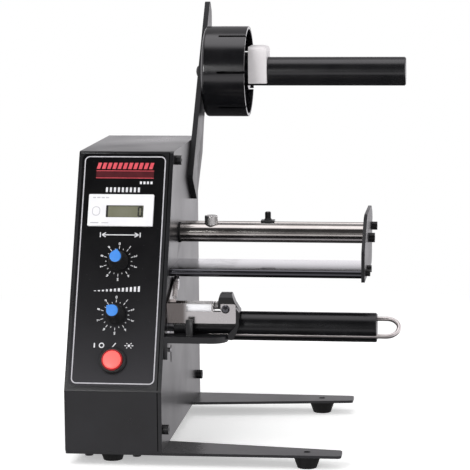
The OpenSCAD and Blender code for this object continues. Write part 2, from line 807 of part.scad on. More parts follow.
// Spur gear with involute flanks, its first tooth centred on the first axis
module spur_gear(teeth, bore_r, width) {
  steps = 5;
  pitch_r = gear_m * teeth / 2;
  base_r = pitch_r * cos(20);
  tip_r = pitch_r + 0.95 * gear_m;
  root_r = pitch_r - 1.2 * gear_m;
  flank = function(r) let (t = sqrt(max(0, pow(r / base_r, 2) - 1))) t * 180 / PI - atan(t);
  half = function(r) 90 / teeth + flank(pitch_r) - flank(r)
    - backlash / 2 / pitch_r * 180 / PI / 2;
  radii = [for (i = [0:steps]) let (r0 = max(base_r, root_r)) r0 + (tip_r - r0) * i / steps];
  rising = [for (r = radii) [r, -half(r)]];
  falling = [for (i = [steps:-1:0]) [radii[i], half(radii[i])]];
  tooth = concat([[root_r, rising[0][1]]], rising, falling, [[root_r, falling[steps][1]]]);
  outline = [for (k = [0:teeth - 1], p = tooth) let (t = p[1] + 360 / teeth * k)
    p[0] * [cos(t), sin(t)]];
  linear_extrude(width) difference() {
    polygon(outline);
    if (bore_r > 0) circle(r = bore_r);
  }
}

module motor_pinion() {
  phase = 180 - motor_angle + 180 / pinion_teeth;
  color([0.8, 0.7, 0.4]) home() {
    translate([gear_x0, motor_y, motor_z]) rotate([90, 0, 90]) rotate(phase)
      spur_gear(pinion_teeth, 0, gear_w);
    bar_x(motor_y, motor_z, plate_x0 - 9.5, gear_x0 + gear_w + 1.5, motor_shaft_r);
  }
}

module roller_gear() {
  color([0.85, 0.85, 0.8]) home()
    translate([gear_x0, roller_y, roller_z]) rotate([90, 0, 90]) rotate(-motor_angle)
      spur_gear(gear_teeth, shaft_r, gear_w);
}

module drive_shaft() {
  color([0.8, 0.8, 0.81]) home()
    bar_x(roller_y, roller_z, plate_x1 - bearing_w - bearing_lip - 1, console_w + shaft_depth,
          shaft_r);
}

module bearing_housing() {
  color([0.6, 0.6, 0.62]) home() difference() {
    union() {
      bar_x(roller_y, roller_z, inner_x - 4, inner_x, housing_r + 4);
      bar_x(roller_y, roller_z, inner_x - 4, console_w, housing_r);
    }
    bar_x(roller_y, roller_z, console_w - bearing_w - 0.5, console_w + 1, bearing_d / 2);
    bar_x(roller_y, roller_z, inner_x - 5, console_w, shaft_r + 1.5);
  }
}

module ball_bearings() {
  color([0.78, 0.78, 0.8]) home()
    for (x = [console_w - bearing_w - 0.5, plate_x1 - bearing_w]) difference() {
      bar_x(roller_y, roller_z, x, x + bearing_w, bearing_d / 2);
      bar_x(roller_y, roller_z, x - 1, x + bearing_w + 1, shaft_r + run_gap);
    }
}

// ---- Rewind roller and its clip ----

// Axes of the clip's plane: the second axis points from the front leg to the rear leg
module on_roller() {
  translate([0, roller_y, roller_z]) rotate([clip_tilt, 0, 0]) children();
}

module rewind_roller() {
  color([0.07, 0.07, 0.07]) home() difference() {
    translate([roller_x, roller_y, roller_z]) rotate([0, 90, 0]) rotate_extrude() polygon([
      [shaft_r, 0], [roller_r - 0.5, 0], [roller_r, 0.5],
      [roller_r, roller_end_x - roller_x - 0.8], [roller_r - 0.8, roller_end_x - roller_x],
      [0, roller_end_x - roller_x], [0, console_w + shaft_depth - roller_x],
      [shaft_r, console_w + shaft_depth - roller_x]]);
    for (side = [-1, 1]) on_roller() {
      translate([clip_start_x - 1 - groove_r, side * wire_rho, 0]) rotate([0, 90, 0])
        cylinder(r = groove_r, h = roller_end_x - clip_start_x + groove_r + 3);
      translate([clip_start_x - 1 - groove_r, side > 0 ? wire_rho : -wire_rho - 4, -groove_r])
        cube([roller_end_x - clip_start_x + groove_r + 3, 4, 2 * groove_r]);
    }
  }
}

module wire_clip() {
  color([0.85, 0.85, 0.86]) home() on_roller() {
    for (side = [-1, 1]) translate([clip_start_x, side * wire_rho, 0]) {
      rotate([0, 90, 0]) cylinder(r = wire_d / 2, h = bend_x - clip_start_x);
      sphere(r = wire_d / 2);
    }
    translate([bend_x, 0, 0]) rotate([0, 0, -90]) rotate_extrude(angle = 180)
      translate([wire_rho, 0]) circle(r = wire_d / 2);
  }
}

// ---- Supply arm, shaft and hub ----

module supply_arm() {
  foot_y = arm_crown_screw[0];
  foot_z = arm_crown_screw[1];
  color([0.12, 0.12, 0.13]) home() difference() {
    on_side(console_w, supply_x) polygon(rounded([
      [foot_y - 18, foot_z - 39.1, 2], [foot_y - 40.5, foot_z - 19.6, 3],
      [arm_tip_y - 9, supply_z + 56.5, 4], [arm_tip_y, supply_z + 46, 5],
      [arm_tip_y, supply_z + 33, 12], [foot_y + 26.9, foot_z + 18.7, 20],
      [foot_y + 16, foot_z - 5.6, 3]]));
    for (s = arm_screw_list) {
      bar_x(s[0], s[1], console_w - 1, supply_x + 1, s[2] + screw_gap);
      translate([supply_x - s[3] + s[2], s[0], s[1]]) rotate([0, 90, 0])
        cylinder(r1 = s[2], r2 = s[3], h = s[3] - s[2]);
    }
    bar_x(supply_y, supply_z, console_w - 1, supply_x + 1, stud_r + screw_gap);
  }
}

module arm_screws() {
  color([0.1, 0.1, 0.1]) home() for (s = arm_screw_list) {
    cone = s[3] - s[2];
    bar_x(s[0], s[1], supply_x - arm_screw_l, supply_x - cone, s[2]);
    translate([supply_x - cone, s[0], s[1]]) rotate([0, 90, 0])
      cylinder(r1 = s[2], r2 = s[3], h = cone);
  }
}

module supply_shaft() {
  r = supply_shaft_d / 2;
  color([0.08, 0.08, 0.08]) home() difference() {
    translate([supply_x, supply_y, supply_z]) rotate([0, 90, 0]) rotate_extrude() polygon([
      [0, 0], [r, 0], [r, supply_shaft_l - 1], [r - 1, supply_shaft_l], [0, supply_shaft_l]]);
    bar_x(supply_y, supply_z, supply_x - 1, supply_x + 20, stud_r);
  }
}

module shaft_screw() {
  color([0.1, 0.1, 0.1]) home() {
    bar_x(supply_y, supply_z, console_w, supply_x + 18, stud_r);
    translate([console_w, supply_y, supply_z]) rotate([0, -90, 0]) rotate_extrude() polygon([
      [0, 0], [4.8, 0], [4.8, 1.6], [3.6, 3], [1.6, 3.7], [0, 3.8]]);
  }
}

module supply_hub() {
  r = hub_d / 2;
  bore = supply_shaft_d / 2 + run_gap;
  core = bore + hub_core_t;
  color([0.07, 0.07, 0.07]) home() translate([hub_x, supply_y, supply_z]) rotate([90, 0, 90]) {
    difference() {
      union() {
        rotate_extrude() polygon(rounded([
          [bore, 0, 0], [r, 0, hub_round], [r, hub_l, 0.4], [r - leaf_t, hub_l, 0.4],
          [r - leaf_t, web_t, 0], [core, web_t, 0], [core, hub_l, 0], [bore, hub_l, 0]]));
        for (k = [0:hub_leaves - 1]) rotate(slot_turn + 360 / hub_leaves * (k + 0.5))
          translate([core - 0.5, -spoke_t / 2, 1]) cube([r - leaf_t - core + 1, spoke_t, hub_l - 6]);
      }
      for (k = [0:hub_leaves - 1]) rotate(slot_turn + 360 / hub_leaves * k)
        translate([core + 4, -hub_slot / 2, slot_start]) cube([r, hub_slot, hub_l]);
    }
  }
}

module lock_clip() {
  bore = supply_shaft_d / 2 + run_gap;
  w = clip_w / 2;
  color([0.88, 0.88, 0.87]) home() intersection() {
    difference() {
      translate([0, supply_y, supply_z]) on_side(clip_x, clip_x + clip_l) polygon(rounded([
        [-w, -clip_low, 1.5], [w, -clip_low, 1.5], [w, clip_top, clip_round],
        [-w, clip_top, clip_round]]));
      bar_x(supply_y, supply_z, clip_x - 1, clip_x + clip_l + 1, bore);
      translate([clip_x - 1, supply_y - 7, supply_z - clip_low - 1]) cube([clip_l + 2, 14, 6]);
    }
    on_front(supply_y - w - 1, supply_y + w + 1) polygon(rounded([
      [clip_x, supply_z - clip_low, 0.6], [clip_x + clip_l, supply_z - clip_low, 0.6],
      [clip_x + clip_l, supply_z + clip_top, clip_round],
      [clip_x, supply_z + clip_top, 0.6]]));
  }
}

// ---- Guides ----

module guide_bar() {
  seat = bar_z + bar_d / 2 - stop_seat;
  color([0.85, 0.84, 0.83]) home() difference() {
    bar_x(bar_y, bar_z, console_w + washer_t, end_x, bar_d / 2);
    translate([console_w + stop_x, bar_y, seat])
      cylinder(r = stop_d / 2 + slip_gap, h = bar_d);
    translate([console_w + stop_x, bar_y, seat - stop_shank_l - 1])
      cylinder(r = stop_shank_r + run_gap, h = bar_d);
    bar_x(bar_y, bar_z, console_w, console_w + washer_t + 12, m4_r);
    bar_x(bar_y, bar_screw_z, end_x - 12, end_x + 1, m4_r);
  }
}

module bar_washer() {
  color([0.07, 0.07, 0.07]) home() difference() {
    bar_x(bar_y, bar_z, console_w, console_w + washer_t, bar_d / 2 + washer_lip);
    bar_x(bar_y, bar_z, console_w - 1, console_w + washer_t + 1, m4_r + screw_gap);
  }
}

module rear_rod() {
  color([0.85, 0.85, 0.85]) home() difference() {
    bar_x(rod_y, rod_z, console_w, end_x, rod_d / 2);
    bar_x(rod_y, rod_z, console_w - 1, console_w + 8, m3_r);
    bar_x(rod_y, rod_z, end_x - 8, end_x + 1, m3_r);
  }
}

module stop_screw() {
  seat = bar_z + bar_d / 2 - stop_seat;
  color([0.7, 0.69, 0.67]) home() translate([console_w + stop_x, bar_y, seat]) {
    translate([0, 0, -stop_shank_l]) cylinder(r = stop_shank_r, h = stop_shank_l + 1);
    translate([0, 0, slip_gap / 2]) rotate_extrude() polygon([
      [0, 0], [stop_d / 2 - 1, 0], [stop_d / 2 - 1, 1.2], [stop_d / 2, 1.8],
      [stop_d / 2, stop_h - 0.6], [stop_d / 2 - 0.6, stop_h], [0, stop_h]]);
  }
}

module edge_guide() {
  x0 = console_w + guide_x - guide_w / 2;
  top = rod_z + guide_h / 2;
  color([0.07, 0.07, 0.07]) home() difference() {
    union() {
      on_side(x0, x0 + guide_w) translate([rod_y, rod_z]) polygon(rounded([
        [-4.5, -guide_h / 2, 1.5], [4.5, -guide_h / 2, 1.5], [4.5, guide_h / 2, 1.5],
        [-4.5, guide_h / 2, 1.5]]));
      translate([console_w + guide_x, rod_y, top - 1]) rotate_extrude() polygon([
        [0, 0], [4, 0], [guide_pin_d / 2, 2.2], [guide_pin_d / 2, guide_rise],
        [guide_pin_d / 2 - 0.6, guide_rise + 0.6], [0, guide_rise + 0.6]]);
    }
    bar_x(rod_y, rod_z, x0 - 1, x0 + guide_w + 1, rod_d / 2 + run_gap);
  }
}

// A lug for the spring's end at pos, from x0 to beyond the spring, along the spring's axis
module spring_ear(pos, x0, along0, along1) {
  translate([0, pos[0], pos[1]]) rotate([spring_angle, 0, 0])
    translate([x0, along0, -spring_lug / 2])
      cube([spring_x + spring_lug / 2 - x0, along1 - along0, spring_lug]);
}

module peel_plate() {
  color([0.78, 0.78, 0.8]) home() difference() {
    union() {
      on_side(console_w, end_x) polygon(rounded([
        [peel_y, peel_low, peel_nose], [peel_y + peel_d, peel_low, 0.5],
        [peel_y + peel_d, peel_z, 0.5], [peel_y, peel_z, peel_nose]]));
      spring_ear(lug_high, spring_x - spring_lug / 2, 0, 4);
    }
    for (s = peel_screws) {
      bar_x(s[0], s[1], console_w - 1, console_w + 10, m3_r);
      bar_x(s[0], s[1], end_x - 10, end_x + 1, m3_r);
    }
  }
}

module end_plate() {
  low = peel_low - 2.4;
  color([0.14, 0.14, 0.15]) home() difference() {
    on_side(end_x, end_x + end_t) polygon(rounded([
      [peel_y - 2.5, low, 2], [peel_y - 2.5, peel_z + 13.4, 8], [bar_y - 23, bar_z + 16.9, 25],
      [rod_y, rod_z + 15.5, 8], [rod_y + 13, rod_z + 8, 6], [rod_y + 3, low, 8]]));
    bar_x(bar_y, bar_screw_z, end_x - 1, end_x + end_t + 1, m4_r + screw_gap);
    bar_x(rod_y, rod_z, end_x - 1, end_x + end_t + 1, m3_r + screw_gap);
    for (s = peel_screws) bar_x(s[0], s[1], end_x - 1, end_x + end_t + 1, m3_r + screw_gap);
  }
}

module end_screws() {
  color([0.08, 0.08, 0.08]) home() {
    cap_screw(end_x + end_t, bar_y, bar_screw_z, 1, m4_r, m4_head_r, m4_head_h, end_t + 8);
    cap_screw(end_x + end_t, rod_y, rod_z, 1, m3_r, m4_head_r - 0.4, m4_head_h, end_t + 6);
    for (s = peel_screws)
      cap_screw(end_x + end_t, s[0], s[1], 1, m3_r, m3_head_r, m3_head_h, end_t + 6);
  }
}

// Screws from inside the console into the bars, the peel plate and the tray: [y, z, radius]
tray_flange_z = tray_z - tray_t - 6;
inner_screw_list = concat(
  [[bar_y, bar_z, m4_r], [rod_y, rod_z, m3_r]],
  [for (s = peel_screws) [s[0], s[1], m3_r]],
  [[tray_y + 7, tray_flange_z, m3_r]]);

module inner_screws() {
  color([0.6, 0.6, 0.62]) home()
    for (s = inner_screw_list)
      cap_screw(inner_x, s[0], s[1], -1, s[2], s[2] + 1.2, 3, side_t + (s[2] > 1.6 ? 8 : 4));
}

// ---- Tray and pinch mechanism ----

module support_tray() {
  y1 = tray_y + tray_depth;
  low = tray_z - tray_t;
  color([0.09, 0.09, 0.1]) home() difference() {
    union() {
      translate([0, 0, low]) linear_extrude(tray_t) polygon(rounded([
        [console_w, tray_y, 0], [tray_x1, tray_y, tray_round], [tray_x1, y1, 1],
        [console_w, y1, 0]]));
      translate([console_w, tray_y, low - 12]) cube([2.5, tray_depth, 12]);
      translate([console_w + 15, tray_y + 6, tray_z]) cube([5, 3, 11.5]);
    }
    bar_x(tray_y + 7, tray_flange_z, console_w - 1, console_w + 4, m3_r);
  }
}

module pinch_bracket() {
  t = bracket_t;
  color([0.75, 0.74, 0.73]) home() difference() {
    union() {
      on_front(front_wall_y - t, front_wall_y) polygon(rounded([
        [cheek_x, wall_low, 0], [bracket_x1, wall_low, 1], [bracket_x1, wall_top, 1.5],
        [notch_x1, wall_top, 0], [notch_x1, notch_z, 0], [notch_x0, notch_z, 0],
        [notch_x0, wall_top, 0], [cheek_x, wall_top, 0]]));
      translate([cheek_x, rear_wall_y, rear_wall_low])
        cube([bracket_l - 1.5, t, wall_top - rear_wall_low]);
      on_side(cheek_x, cheek_x + t) polygon(rounded([
        [front_wall_y - t, wall_low, 0], [front_wall_y - t, wall_top, 0],
        [pivot_y - 2.5, pivot_z + boss_r, 2], [pivot_y + 3.5, pivot_z - 3.5, 2],
        [rear_wall_y + 4, roller_z + shaft_r + 4, 4],
        [front_wall_y + 4, wall_low, 3]]));
      bar_x(pivot_y, pivot_z, cheek_x, cheek_x + t, boss_r);
      on_side(inner_cheek_x, inner_cheek_x + t) polygon([
        [front_wall_y - 0.1, rear_wall_low - 2], [front_wall_y - 0.1, wall_top],
        [rear_wall_y + 0.1, wall_top], [rear_wall_y + 0.1, rear_wall_low],
        [pinch_y + 1, rear_wall_low - 2]]);
      spring_ear(lug_low, cheek_x + t / 2, -2.4, 0);
    }
    bar_x(pivot_y, pivot_z, cheek_x - 1, cheek_x + t + 1, pivot_r + run_gap);
    bar_x(pinch_y, pinch_z, cheek_x - 1, inner_cheek_x + t + 1, axle_r);
    bar_y_axis(latch_x, latch_z, front_wall_y - t - 1, rear_wall_y + t + 1, latch_pin_r);
  }
}

module bracket_pivot() {
  t = bracket_t;
  color([0.8, 0.8, 0.81]) home() {
    bar_x(pivot_y, pivot_z, inner_x, cheek_x + t + slip_gap, pivot_r);
    bar_x(pivot_y, pivot_z, console_w, cheek_x - slip_gap / 2, boss_r);
    bar_x(pivot_y, pivot_z, cheek_x + t + slip_gap, cheek_x + t + slip_gap + 2, boss_r - 0.5);
  }
}

module pinch_axle() {
  color([0.8, 0.8, 0.81]) home()
    bar_x(pinch_y, pinch_z, cheek_x, inner_cheek_x + bracket_t, axle_r);
}

module pinch_roller() {
  x1 = inner_cheek_x - slip_gap;
  color([0.88, 0.88, 0.88]) home() difference() {
    bar_x(pinch_y, pinch_z, x1 - pinch_l, x1, pinch_r);
    bar_x(pinch_y, pinch_z, x1 - pinch_l - 1, x1 + 1, axle_r + run_gap);
  }
}

// The latch: a thumb tab behind the bracket's front wall, and a hook round the tray's end
module latch_lever() {
  tab_x0 = latch_x - 6;
  tab_top = latch_z + 10.8;
  link_z = rear_wall_low - 0.5;
  link_top = latch_z - 1.4;
  color([0.08, 0.08, 0.08]) home() difference() {
    union() {
      intersection() {
        on_front(latch_y0, latch_y1) polygon(rounded([
          [tab_x0, latch_z + 3.7, 0.5], [tab_x0 + 1.8, tab_top, 1], [latch_x + 4, tab_top, 1],
          [latch_x + 6.6, latch_z + 4.2, 0.5], [hook_x1, link_top, 0], [hook_x1, link_z, 0],
          [latch_x, latch_z - 3, 1], [latch_x - 5.2, latch_z + 0.2, 1]]));
        on_side(tab_x0 - 1, hook_x1 + 1) polygon([
          [latch_y0, link_z - 3], [latch_y0, tab_top - 2.6], [latch_y0 + 3, tab_top],
          [latch_y1, tab_top], [latch_y1, link_z - 3]]);
      }
      on_front(hook_y0, latch_y1) polygon([
        [hook_x0, link_z], [hook_x1, link_z], [hook_x1, link_top],
        [hook_x0, link_top + 3]]);
      on_front(hook_y0, hook_y1) polygon(rounded([
        [hook_x0, link_z + 1, 0], [hook_x1, link_z + 1, 0], [hook_x1, wall_low - 1, 8],
        [tray_x1 + 4, tray_z - tray_t + 1.2, 2], [tray_x1 + slip_gap, tray_z - tray_t + 1.6, 0.4],
        [tray_x1 + slip_gap, tray_z + 0.6, 1], [hook_x0, wall_low - 1, 6]]));
    }
    bar_y_axis(latch_x, latch_z, latch_y0 - 1, latch_y1 + 1, latch_pin_r + run_gap);
  }
}

module latch_pin() {
  front = front_wall_y - bracket_t;
  color([0.85, 0.85, 0.85]) home() {
    bar_y_axis(latch_x, latch_z, front, rear_wall_y + bracket_t + 1.6, latch_pin_r);
    translate([latch_x, front, latch_z]) rotate([90, 0, 0]) rotate_extrude() polygon([
      [0, 0], [3, 0], [3, 0.6], [2.2, 1.3], [0, 1.5]]);
    bar_y_axis(latch_x, latch_z, rear_wall_y + bracket_t, rear_wall_y + bracket_t + 0.8, 3.2);
  }
}

// Pinch spring: one wire wound round its axis, with a straight stub at each end
spring_rho = (spring_d - spring_wire) / 2;
spring_stub = 1.6;
spring_ring = 6;
spring_steps = 8;
spring_span = spring_l - 2 * spring_stub;
spring_turns = spring_coils * spring_steps;

// Point of the wire's centre line for a step from 0 to spring_turns, along the spring's axis
function spring_point(i) =
  let (
    t = i / spring_turns,
    blend = min(1, min(i, spring_turns - i) / spring_steps),
    a = 360 * i / spring_steps)
  [spring_rho * blend * cos(a), spring_stub + spring_span * t, spring_rho * blend * sin(a)];

spring_path = concat(
  [[0, 0, 0]], [for (i = [0:spring_turns]) spring_point(i)], [[0, spring_l, 0]]);

// Least gap between two turns, measured on the points that lie one turn and more apart
spring_least = min([for (i = [spring_steps:spring_turns - 2 * spring_steps])
  for (j = [spring_steps - 1:spring_steps + 1])
    norm(spring_point(i) - spring_point(i + j))]) - spring_wire;
echo(least_gap_of_spring_turns = spring_least);

function unit(v) = v / norm(v);

module wire_tube(path, r, sides) {
  n = len(path);
  dirs = [for (i = [0:n - 1]) unit(path[min(i + 1, n - 1)] - path[max(i - 1, 0)])];
  rings = [for (i = [0:n - 1])
    let (d = dirs[i], u = unit(cross(d, [0.31, 0.17, 1])), v = cross(d, u))
    for (k = [0:sides - 1]) path[i] + r * (cos(360 * k / sides) * u + sin(360 * k / sides) * v)];
  walls = [for (i = [0:n - 2], k = [0:sides - 1])
    let (a = i * sides + k, b = i * sides + (k + 1) % sides, c = a + sides, e = b + sides)
    each [[a, c, e], [a, e, b]]];
  first = [for (k = [1:sides - 2]) [0, k, k + 1]];
  last = [for (k = [1:sides - 2]) [(n - 1) * sides, (n - 1) * sides + k + 1,
    (n - 1) * sides + k]];
  polyhedron(points = rings, faces = concat(walls, first, last));
}

module pinch_spring() {
  color([0.8, 0.8, 0.8]) home()
    translate([spring_x, lug_low[0], lug_low[1]]) rotate([spring_angle, 0, 0])
      translate([0, 0.05, 0]) wire_tube(spring_path, spring_wire / 2, spring_ring);
}

base_plate();
feet();
base_screws();
front_panel();
cover();
side_plate();
screw_lugs();
side_screws();
face_film();
counter_bezel();
counter_window();
counter_body();
length_pot();
length_shaft();
length_knob();
length_cap();
speed_pot();
speed_shaft();
speed_knob();
speed_cap();
button_bezel();
power_button();
control_board();
transformer();
power_inlet();
fuse_holder();
gear_motor();
motor_plate();
spacers();
motor_pinion();
roller_gear();
drive_shaft();
bearing_housing();
ball_bearings();
rewind_roller();
wire_clip();
supply_arm();
arm_screws();
supply_shaft();
shaft_screw();
supply_hub();
lock_clip();
guide_bar();
bar_washer();
rear_rod();
stop_screw();
edge_guide();
peel_plate();
end_plate();
end_screws();
inner_screws();
support_tray();
pinch_bracket();
bracket_pivot();
pinch_roller();
pinch_axle();
latch_lever();
latch_pin();
pinch_spring();
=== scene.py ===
import math
import bmesh
import bpy
import numpy as np
from mathutils import Matrix, Vector


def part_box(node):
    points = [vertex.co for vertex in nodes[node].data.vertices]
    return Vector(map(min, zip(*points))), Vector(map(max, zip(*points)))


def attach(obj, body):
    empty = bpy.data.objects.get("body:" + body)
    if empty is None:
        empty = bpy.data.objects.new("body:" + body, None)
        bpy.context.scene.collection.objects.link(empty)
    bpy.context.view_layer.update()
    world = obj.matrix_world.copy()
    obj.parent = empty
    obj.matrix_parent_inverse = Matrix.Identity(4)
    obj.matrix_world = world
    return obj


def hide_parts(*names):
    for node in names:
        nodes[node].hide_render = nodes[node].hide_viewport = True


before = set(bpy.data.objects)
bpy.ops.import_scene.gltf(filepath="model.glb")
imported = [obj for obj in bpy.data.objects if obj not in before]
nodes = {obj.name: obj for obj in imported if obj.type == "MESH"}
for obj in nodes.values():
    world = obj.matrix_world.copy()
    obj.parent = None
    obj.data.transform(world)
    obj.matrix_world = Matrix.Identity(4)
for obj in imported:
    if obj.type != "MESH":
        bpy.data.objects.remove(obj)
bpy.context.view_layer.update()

print("stage: frame loaded,", len(nodes), "nodes")

# machine millimetres (x from the left wall, y from the front, z from the base plate) to the frame
machine = {"middleX": 118.65, "middleY": 128.25, "floorZ": -10.8, "wallX": 70.0}
face = {"lean": 24.0, "crease": 44.0, "film": 0.3, "dialX": 34.0, "lengthV": 95.3, "speedV": 55.6,
        "buttonV": 22.0, "counterRise": 2.0}


def toFrame(x, y, z):
    return np.stack(np.broadcast_arrays((np.asarray(x, float) - machine["middleX"]) / 1000,
                                        (np.asarray(y, float) - machine["middleY"]) / 1000,
                                        (np.asarray(z, float) - machine["floorZ"]) / 1000), -1)


# x to the right, v up the slope from the crease, n out of the face
def onFace(x, v, n):
    lean = math.radians(face["lean"])
    x, v, n = np.broadcast_arrays(np.asarray(x, float), np.asarray(v, float), np.asarray(n, float))
    return toFrame(x, v * math.sin(lean) - n * math.cos(lean),
                   face["crease"] + v * math.cos(lean) + n * math.sin(lean))


def meshFromArrays(name, points, quads, triangles=None, sharp=40.0):
    points = np.asarray(points, np.float32).reshape(-1, 3)
    quads = np.asarray(quads, np.int32).reshape(-1, 4)
    triangles = np.zeros((0, 3), np.int32) if triangles is None else np.asarray(triangles, np.int32)
    loops = np.concatenate([quads.ravel(), triangles.ravel()])
    totals = np.concatenate([np.full(len(quads), 4), np.full(len(triangles), 3)]).astype(np.int32)
    starts = np.concatenate([[0], np.cumsum(totals)[:-1]]).astype(np.int32)
    mesh = bpy.data.meshes.new(name)
    mesh.vertices.add(len(points))
    mesh.vertices.foreach_set("co", points.ravel())
    mesh.loops.add(len(loops))
    mesh.loops.foreach_set("vertex_index", loops)
    mesh.polygons.add(len(totals))
    mesh.polygons.foreach_set("loop_start", starts)
    mesh.polygons.foreach_set("loop_total", totals)
    mesh.polygons.foreach_set("use_smooth", np.ones(len(totals), bool))
    mesh.update(calc_edges=True)
    mesh.validate()
    mesh.set_sharp_from_angle(angle=math.radians(sharp))
    piece = bpy.data.objects.new(name, mesh)
    bpy.context.scene.collection.objects.link(piece)
    return piece


# quads of a grid of rows by columns, wrapped round where asked
def gridQuads(rows, columns, wrapRows=False, wrapColumns=True, first=0):
    r = np.arange(rows if wrapRows else rows - 1)[:, None]
    c = np.arange(columns if wrapColumns else columns - 1)[None, :]
    a = r * columns + c
    b = r * columns + (c + 1) % columns
    d = ((r + 1) % rows) * columns + c
    e = ((r + 1) % rows) * columns + (c + 1) % columns
    return np.stack([a, b, e, d], -1).reshape(-1, 4) + first


# a turned shape on the face: profile points (radius, height) carried round n angles,
# radius changed by shape(profile index array, angle array), poles closed by fans
def turnedOnFace(name, x, v, profile, steps=96, shape=None):
    profile = np.asarray(profile, float)
    angle = np.linspace(0, 2 * np.pi, steps, endpoint=False)
    radius = np.repeat(profile[:, :1], steps, 1)
    height = np.repeat(profile[:, 1:], steps, 1)
    if shape is not None:
        radius = shape(radius, height, angle[None, :])
    grid = onFace(x + radius * np.sin(angle), v + radius * np.cos(angle), height)
    points = grid.reshape(-1, 3)
    ends = onFace(x, v, np.array([height[0].mean(), height[-1].mean()]))
    count = len(points)
    quads = gridQuads(len(profile), steps)[:, ::-1]
    ring = np.arange(steps)
    nextRing = (ring + 1) % steps
    lastRow = (len(profile) - 1) * steps
    bottom = np.stack([np.full(steps, count), ring, nextRing], -1)[:, ::-1]
    top = np.stack([np.full(steps, count + 1), lastRow + ring, lastRow + nextRing], -1)
    return meshFromArrays(name, np.concatenate([points, ends]), quads,
                          np.concatenate([bottom, top])[:, ::-1])


# flat prints: many four-cornered patches on the face, each a thin slab; corners (n, 4, 2) in x, v
def slabsOnFace(name, corners, height, thick=0.05):
    corners = np.asarray(corners, float)
    area = np.sum(corners[:, :, 0] * np.roll(corners[:, :, 1], -1, 1)
                  - np.roll(corners[:, :, 0], -1, 1) * corners[:, :, 1], 1)
    corners[area < 0] = corners[area < 0][:, ::-1]
    low = onFace(corners[:, :, 0], corners[:, :, 1], height)
    high = onFace(corners[:, :, 0], corners[:, :, 1], height + thick)
    points = np.concatenate([low, high], 1).reshape(-1, 3)
    base = np.arange(len(corners))[:, None, None] * 8
    quads = np.array([[4, 5, 6, 7], [3, 2, 1, 0], [0, 1, 5, 4], [1, 2, 6, 5], [2, 3, 7, 6],
                      [3, 0, 4, 7]])[None]
    return meshFromArrays(name, points, (base + quads).reshape(-1, 4))


# a rectangle's outline with round corners, counter-clockwise, as points and outward normals
def roundOutline(x0, x1, v0, v1, radius, steps=10):
    t = np.linspace(0, np.pi / 2, steps)
    centres = np.array([[x1 - radius, v1 - radius], [x0 + radius, v1 - radius],
                        [x0 + radius, v0 + radius], [x1 - radius, v0 + radius]])
    angle = (np.arange(4)[:, None] * np.pi / 2 + t[None]).reshape(-1)
    normal = np.stack([np.cos(angle), np.sin(angle)], -1)
    return np.repeat(centres, steps, 0) + radius * normal, normal


# a band of given width carried along a closed outline on the face
def bandOnFace(name, outline, normal, width, height, thick):
    across = np.array([-width / 2, width / 2, width / 2, -width / 2])
    up = np.array([0, 0, thick, thick])
    centre = outline[:, None, :] + normal[:, None, :] * across[None, :, None]
    grid = onFace(centre[..., 0], centre[..., 1], height + up[None, :])
    return meshFromArrays(name, grid, gridQuads(len(outline), 4, wrapRows=True)[:, ::-1])


# a turned shape on any axis of the frame, profile (radius, along) in millimetres
def turnedOnAxis(name, origin, along, aside, profile, steps=96, shape=None):
    profile = np.asarray(profile, float) / 1000
    along, aside = np.asarray(along, float), np.asarray(aside, float)
    third = np.cross(along, aside)
    angle = np.linspace(0, 2 * np.pi, steps, endpoint=False)
    radius = np.repeat(profile[:, :1], steps, 1)
    height = np.repeat(profile[:, 1:], steps, 1)
    if shape is not None:
        radius = shape(radius, height, angle[None, :])
    grid = (origin + height[..., None] * along + (radius * np.cos(angle))[..., None] * aside
            + (radius * np.sin(angle))[..., None] * third)
    ends = origin + np.array([[height[0].mean()], [height[-1].mean()]]) * along
    count = grid.shape[0] * grid.shape[1]
    ring = np.arange(steps)
    nextRing = (ring + 1) % steps
    lastRow = (len(profile) - 1) * steps
    bottom = np.stack([np.full(steps, count), nextRing, ring], -1)
    top = np.stack([np.full(steps, count + 1), lastRow + ring, lastRow + nextRing], -1)
    return meshFromArrays(name, np.concatenate([grid.reshape(-1, 3), ends]),
                          gridQuads(len(profile), steps), np.concatenate([bottom, top]))


def newGroup(name, inputs, outputs):
    group = bpy.data.node_groups.new(name, "ShaderNodeTree")
    for label, kind, value in inputs:
        socket = group.interface.new_socket(name=label, in_out="INPUT", socket_type=kind)
        if value is not None:
            socket.default_value = value
    for label, kind in outputs:
        group.interface.new_socket(name=label, in_out="OUTPUT", socket_type=kind)
    start = group.nodes.new("NodeGroupInput")
    end = group.nodes.new("NodeGroupOutput")
    return group, start, end


def addNode(tree, kind, **values):
    node = tree.nodes.new(kind)
    for key, value in values.items():
        setattr(node, key, value)
    return node


def mathNode(tree, operation, a, b=None):
    node = addNode(tree, "ShaderNodeMath", operation=operation)
    for index, value in enumerate((a, b)):
        if value is None:
            continue
        if isinstance(value, (int, float)):
            node.inputs[index].default_value = value
        else:
            tree.links.new(value, node.inputs[index])
    return node.outputs[0]


# a soft step from 0 to 1 between two values
def smoothStep(tree, value, low, high):
    node = addNode(tree, "ShaderNodeMapRange", interpolation_type="SMOOTHSTEP")
    tree.links.new(value, node.inputs["Value"])
    node.inputs["From Min"].default_value = low
    node.inputs["From Max"].default_value = high
    return node.outputs[0]


